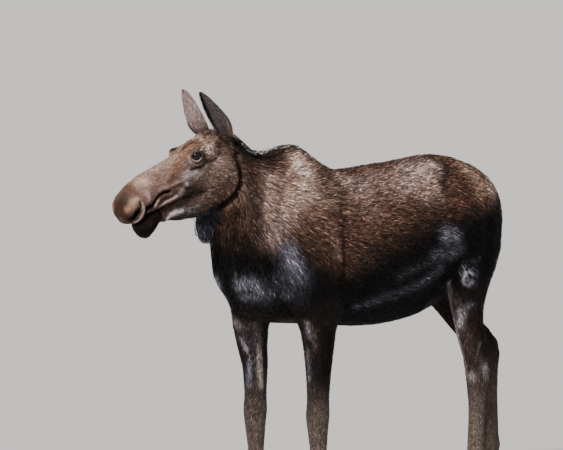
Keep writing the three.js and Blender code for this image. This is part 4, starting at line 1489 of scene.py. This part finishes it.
    def piece(self, name: str, roots: Roots, unrolled: np.ndarray, slot: str,
              dice: np.random.Generator) -> bpy.types.Object:
        """Makes one piece of the coat.

        Args:
            name: The piece's name.
            roots: The roots of its tufts.
            unrolled: The roots' places on the unrolled skin, filling a square.
            slot: Not used.
            dice: The source of variation.

        Returns:
            The piece.
        """
        points = self.shaped(roots, dice).reshape(-1, 3)
        size = len(roots.place)
        faces = (np.arange(size)[:, None, None] * 5 + TUFT_FACES).reshape(-1, 3)
        made = mesh_object(name, points, faces)
        paint(made.data, self.shades(roots, dice).reshape(-1, 3))
        spots = (EDGE + unrolled * (1 - 2 * EDGE))[:, None, :] + TUFT_PATCH
        layer = made.data.uv_layers.new(name=BAKE_MAP)
        layer.data.foreach_set("uv", spots.reshape(-1, 2)[faces.ravel()].astype(np.float32).ravel())
        made.data.materials.append(COAT_FINISH.material())
        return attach(made, BODY)

    def build(self) -> list[bpy.types.Object]:
        """Makes every piece of the coat."""
        roots = self.grow()
        dice = np.random.default_rng(SEED + 1)
        pieces = []
        for pelt, inside in pelts_of(roots.place).items():
            chosen = np.flatnonzero(inside)
            flat = self.unrolled(pelt, roots.place[chosen])
            parts = -(-len(chosen) // self.most_in_piece)
            slice_of = np.minimum((flat[:, 1] * parts).astype(int), parts - 1)
            for number in range(parts):
                part = slice_of == number
                square = flat[part]
                square[:, 1] = square[:, 1] * parts - number
                name = f"coat_{pelt.value}_{number + 1}"
                pieces.append(self.piece(name, roots.only(chosen[part]), square, PELT_SLOTS[pelt], dice))
        return pieces

    def unrolled(self, pelt: Pelt, points: np.ndarray) -> np.ndarray:
        """Unwraps a pelt, with a column of its own for each ear and each leg."""
        column = np.zeros(len(points), int)
        if pelt in (Pelt.EARS, Pelt.LEGS):
            column += points[:, 0] > 0
        if pelt is Pelt.LEGS:
            column = column * 2 + (points[:, 1] > MID_BODY)
        columns = column.max() + 1
        flat = np.empty((len(points), 2))
        for number in range(columns):
            own = column == number
            flat[own] = unwrapped(points[own], PELT_LINES[pelt])
            flat[own, 0] = (flat[own, 0] * (1 - GAP) + number) / columns
        return flat


# odd numbers that scatter a corner's three counts, and then their mix, evenly
CORNER_SCATTER = np.array([73856093, 19349663, 83492791])
MIX_SCATTER = 1274126177


def grain(points: np.ndarray, cell: float) -> np.ndarray:
    """Returns smooth noise between -1 and 1 at each point, with blobs about one cell across."""
    corner = np.floor(points / cell).astype(np.int64)
    part = points / cell - corner
    part = part * part * (3 - 2 * part)
    total = np.zeros(len(points))
    for step in itertools.product((0, 1), repeat=3):
        key = (corner + step) * CORNER_SCATTER
        mixed = key[:, 0] ^ key[:, 1] ^ key[:, 2]
        mixed = ((mixed ^ (mixed >> 13)) * MIX_SCATTER) & 0xFFFFFF
        total += (mixed / 0x7FFFFF - 1) * np.where(step, part, 1 - part).prod(axis=1)
    return total


# how wide the locks of short and of long hair are
SHORT_LOCKS, LONG_LOCKS = 0.0026, 0.0036


def streaks(points: np.ndarray, lie: np.ndarray, cell: float) -> np.ndarray:
    """Returns noise drawn out along the lie of the hair, with a spread of about 1."""
    drawn = sum(grain(points + lie * (cell * step), cell) for step in (-2, -1, 0, 1, 2))
    return drawn / drawn.std()


# how wide the shortest tufts are, and how much wider they get with length
NARROWEST, WIDENING = 0.0009, 0.048


def tuft_width(length: np.ndarray) -> np.ndarray:
    """Returns how wide tufts of a length are."""
    return NARROWEST + WIDENING * length


# ---------------------------------------------------------------- eyes and hooves


@dataclass
class Eyeball:
    """One eye: a ball with a raised cornea, set behind the lids."""

    place: EyePlace
    rings: int = 40
    spokes: int = 64
    cornea: float = 0.0008
    pupil: tuple[float, float] = (0.0085, 0.0045)
    iris_edge: tuple[float, float] = (0.0130, 0.0150)

    def build(self) -> bpy.types.Object:
        """Makes the eyeball.

        Returns:
            The eye as an object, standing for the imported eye.
        """
        polar = np.linspace(0, math.pi, self.rings + 1)[1:-1]
        round_about = np.linspace(0, 2 * math.pi, self.spokes, endpoint=False)
        tilt, turn = (grid.ravel() for grid in np.meshgrid(polar, round_about, indexing="ij"))
        radius = self.place.radius
        swell = radius + self.cornea * bell(tilt, 0.55)
        ball = np.stack([np.sin(tilt) * np.cos(turn), np.sin(tilt) * np.sin(turn), np.cos(tilt)], axis=1)
        ball *= swell[:, None]
        poles = np.array([[0, 0, radius + self.cornea], [0, 0, -radius]])
        points = np.vstack([ball, poles])
        faces = []
        for ring in range(len(polar) - 1):
            for spoke in range(self.spokes):
                a, b = ring * self.spokes + spoke, ring * self.spokes + (spoke + 1) % self.spokes
                faces += [(a, a + self.spokes, b + self.spokes), (a, b + self.spokes, b)]
        last = (len(polar) - 1) * self.spokes
        for spoke in range(self.spokes):
            after = (spoke + 1) % self.spokes
            faces += [(len(ball), spoke, after), (len(ball) + 1, last + after, last + spoke)]
        axes = self.place.axes()
        corners = np.array(faces) if self.place.side is Side.LEFT else np.array(faces)[:, ::-1]
        side = self.place.side.name.lower()
        made = mesh_object(f"eyeball_{side}", axes.placed(points), corners)
        paint(made.data, self.colours(points))
        made.data.materials.append(EYE_FINISH.material())
        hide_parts(f"eye_{side}")
        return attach(made, BODY)

    def colours(self, points: np.ndarray) -> np.ndarray:
        """Returns the colour of each point: a long pupil, a brown iris and a darker rim."""
        half_wide, half_tall = self.pupil
        pupil = 1 - ease(0.85, 1.1, np.hypot(points[:, 0] / half_wide, points[:, 1] / half_tall))
        iris = 1 - ease(*self.iris_edge, np.hypot(points[:, 0], points[:, 1]))
        return mixed(mixed(linear("0e0908"), linear("1a0f0a"), iris), linear("040303"), pupil)


@dataclass
class Horn:
    """A claw or dewclaw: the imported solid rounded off, with its rings of growth."""

    node: str
    voxel: float = 0.003
    ring_pitch: float = 0.011
    ring_depth: float = 0.0004

    def build(self) -> bpy.types.Object:
        """Makes the piece of horn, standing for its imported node."""
        points, faces = node_solid(self.node, 0.0)
        horn = mesh_object("horn", points, faces)
        mesh = with_modifier(horn, "REMESH", mode="VOXEL", voxel_size=self.voxel)
        surface = Surface.read(mesh)
        low = surface.points[:, 2].min()
        surface.smooth(ease(0.002, 0.008, surface.points[:, 2] - low), 6)
        rings = np.sin(surface.points[:, 2] * 2 * math.pi / self.ring_pitch) * self.ring_depth
        share = ease(0.006, 0.014, surface.points[:, 2] - low)
        surface.points += surface.normals() * (rings * share - self.ring_depth)[:, None]
        surface.points[:, 2] = np.maximum(surface.points[:, 2], low)
        made = mesh_object(f"horn_{self.node}", surface.points, surface.triangles)
        bpy.data.meshes.remove(mesh)
        made.data.materials.append(HORN_FINISH.material())
        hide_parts(self.node)
        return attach(made, BODY)


# ---------------------------------------------------------------- studio


@dataclass
class Studio:
    """The floor, the lights and the camera, which is moved over from its aim without being turned."""

    aim: tuple[float, float, float] = (0.0, -0.2272, 1.75)
    distance: float = 30.0
    azimuth: float = math.radians(42)
    elevation: float = math.radians(7)
    aim_right: float = -0.03778
    aim_up: float = -0.36444
    lens: float = 431.6
    floor_reach: float = 150.0

    def build(self) -> None:
        """Sets up everything round the animal."""
        self.floor()
        self.camera()
        self.lamp("key", (0.30, -0.66, 0.69), power=7.2, softness=8, colour=(1.0, 0.97, 0.93))
        self.lamp("fill", (0.75, 0.35, 0.45), power=0.35, softness=60, colour=(0.85, 0.92, 1.0))
        world = bpy.data.worlds.new("studio")
        world.use_nodes = True
        light = world.node_tree.nodes["Background"]
        light.inputs["Color"].default_value = (0.90, 0.94, 1.0, 1)
        light.inputs["Strength"].default_value = 0.33
        bpy.context.scene.world = world

    def floor(self) -> None:
        """Lays the floor under the hooves."""
        reach = self.floor_reach
        corners = np.array([(-1, -1, 0), (1, -1, 0), (1, 1, 0), (-1, 1, 0)]) * reach
        floor = mesh_object("floor", corners, np.array([[0, 1, 2, 3]]))
        floor.data.materials.append(FLOOR_FINISH.material())

    def camera(self) -> None:
        """Places the camera, which looks down a little from the front left."""
        right = np.array([math.sin(self.azimuth), math.cos(self.azimuth), 0])
        away = np.array([-math.cos(self.azimuth), math.sin(self.azimuth), 0])
        tilt = self.elevation
        forward = away * math.cos(tilt) - np.array([0, 0, math.sin(tilt)])
        upward = away * math.sin(tilt) + np.array([0, 0, math.cos(tilt)])
        aim = np.array(self.aim) + right * self.aim_right + upward * self.aim_up
        data = bpy.data.cameras.new("camera")
        data.lens = self.lens
        data.sensor_width = 36
        data.clip_end = 400
        camera = linked("camera", data)
        camera.location = aim - forward * self.distance
        camera.rotation_euler = Vector(forward).to_track_quat("-Z", "Y").to_euler()
        bpy.context.scene.camera = camera

    def lamp(self, name: str, towards: tuple[float, float, float], power: float, softness: float,
             colour: tuple[float, float, float]) -> None:
        """Adds a soft far light.

        Args:
            name: Its name.
            towards: The direction to it.
            power: Its strength.
            softness: How wide it looks, in degrees.
            colour: Its colour.
        """
        data = bpy.data.lights.new(name, "SUN")
        data.energy = power
        data.angle = math.radians(softness)
        data.color = colour
        linked(name, data).rotation_euler = Vector(towards).to_track_quat("Z", "Y").to_euler()


def main() -> None:
    """Builds the animal piece by piece, then the studio round it."""
    logging.basicConfig(level=logging.INFO, format="%(name)s: %(message)s")
    Studio().build()
    hide, surface = Hide().build()
    LOG.info("hide: %d faces", len(hide.data.polygons))
    for place in EYES:
        LOG.info("%s", Eyeball(place).build().name)
    for node in sorted(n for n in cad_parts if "claw" in n):
        LOG.info("%s", Horn(node).build().name)
    for piece in Coat(surface, hide).build():
        LOG.info("%s: %d faces", piece.name, len(piece.data.polygons))


if __name__ == "__main__":
    main()
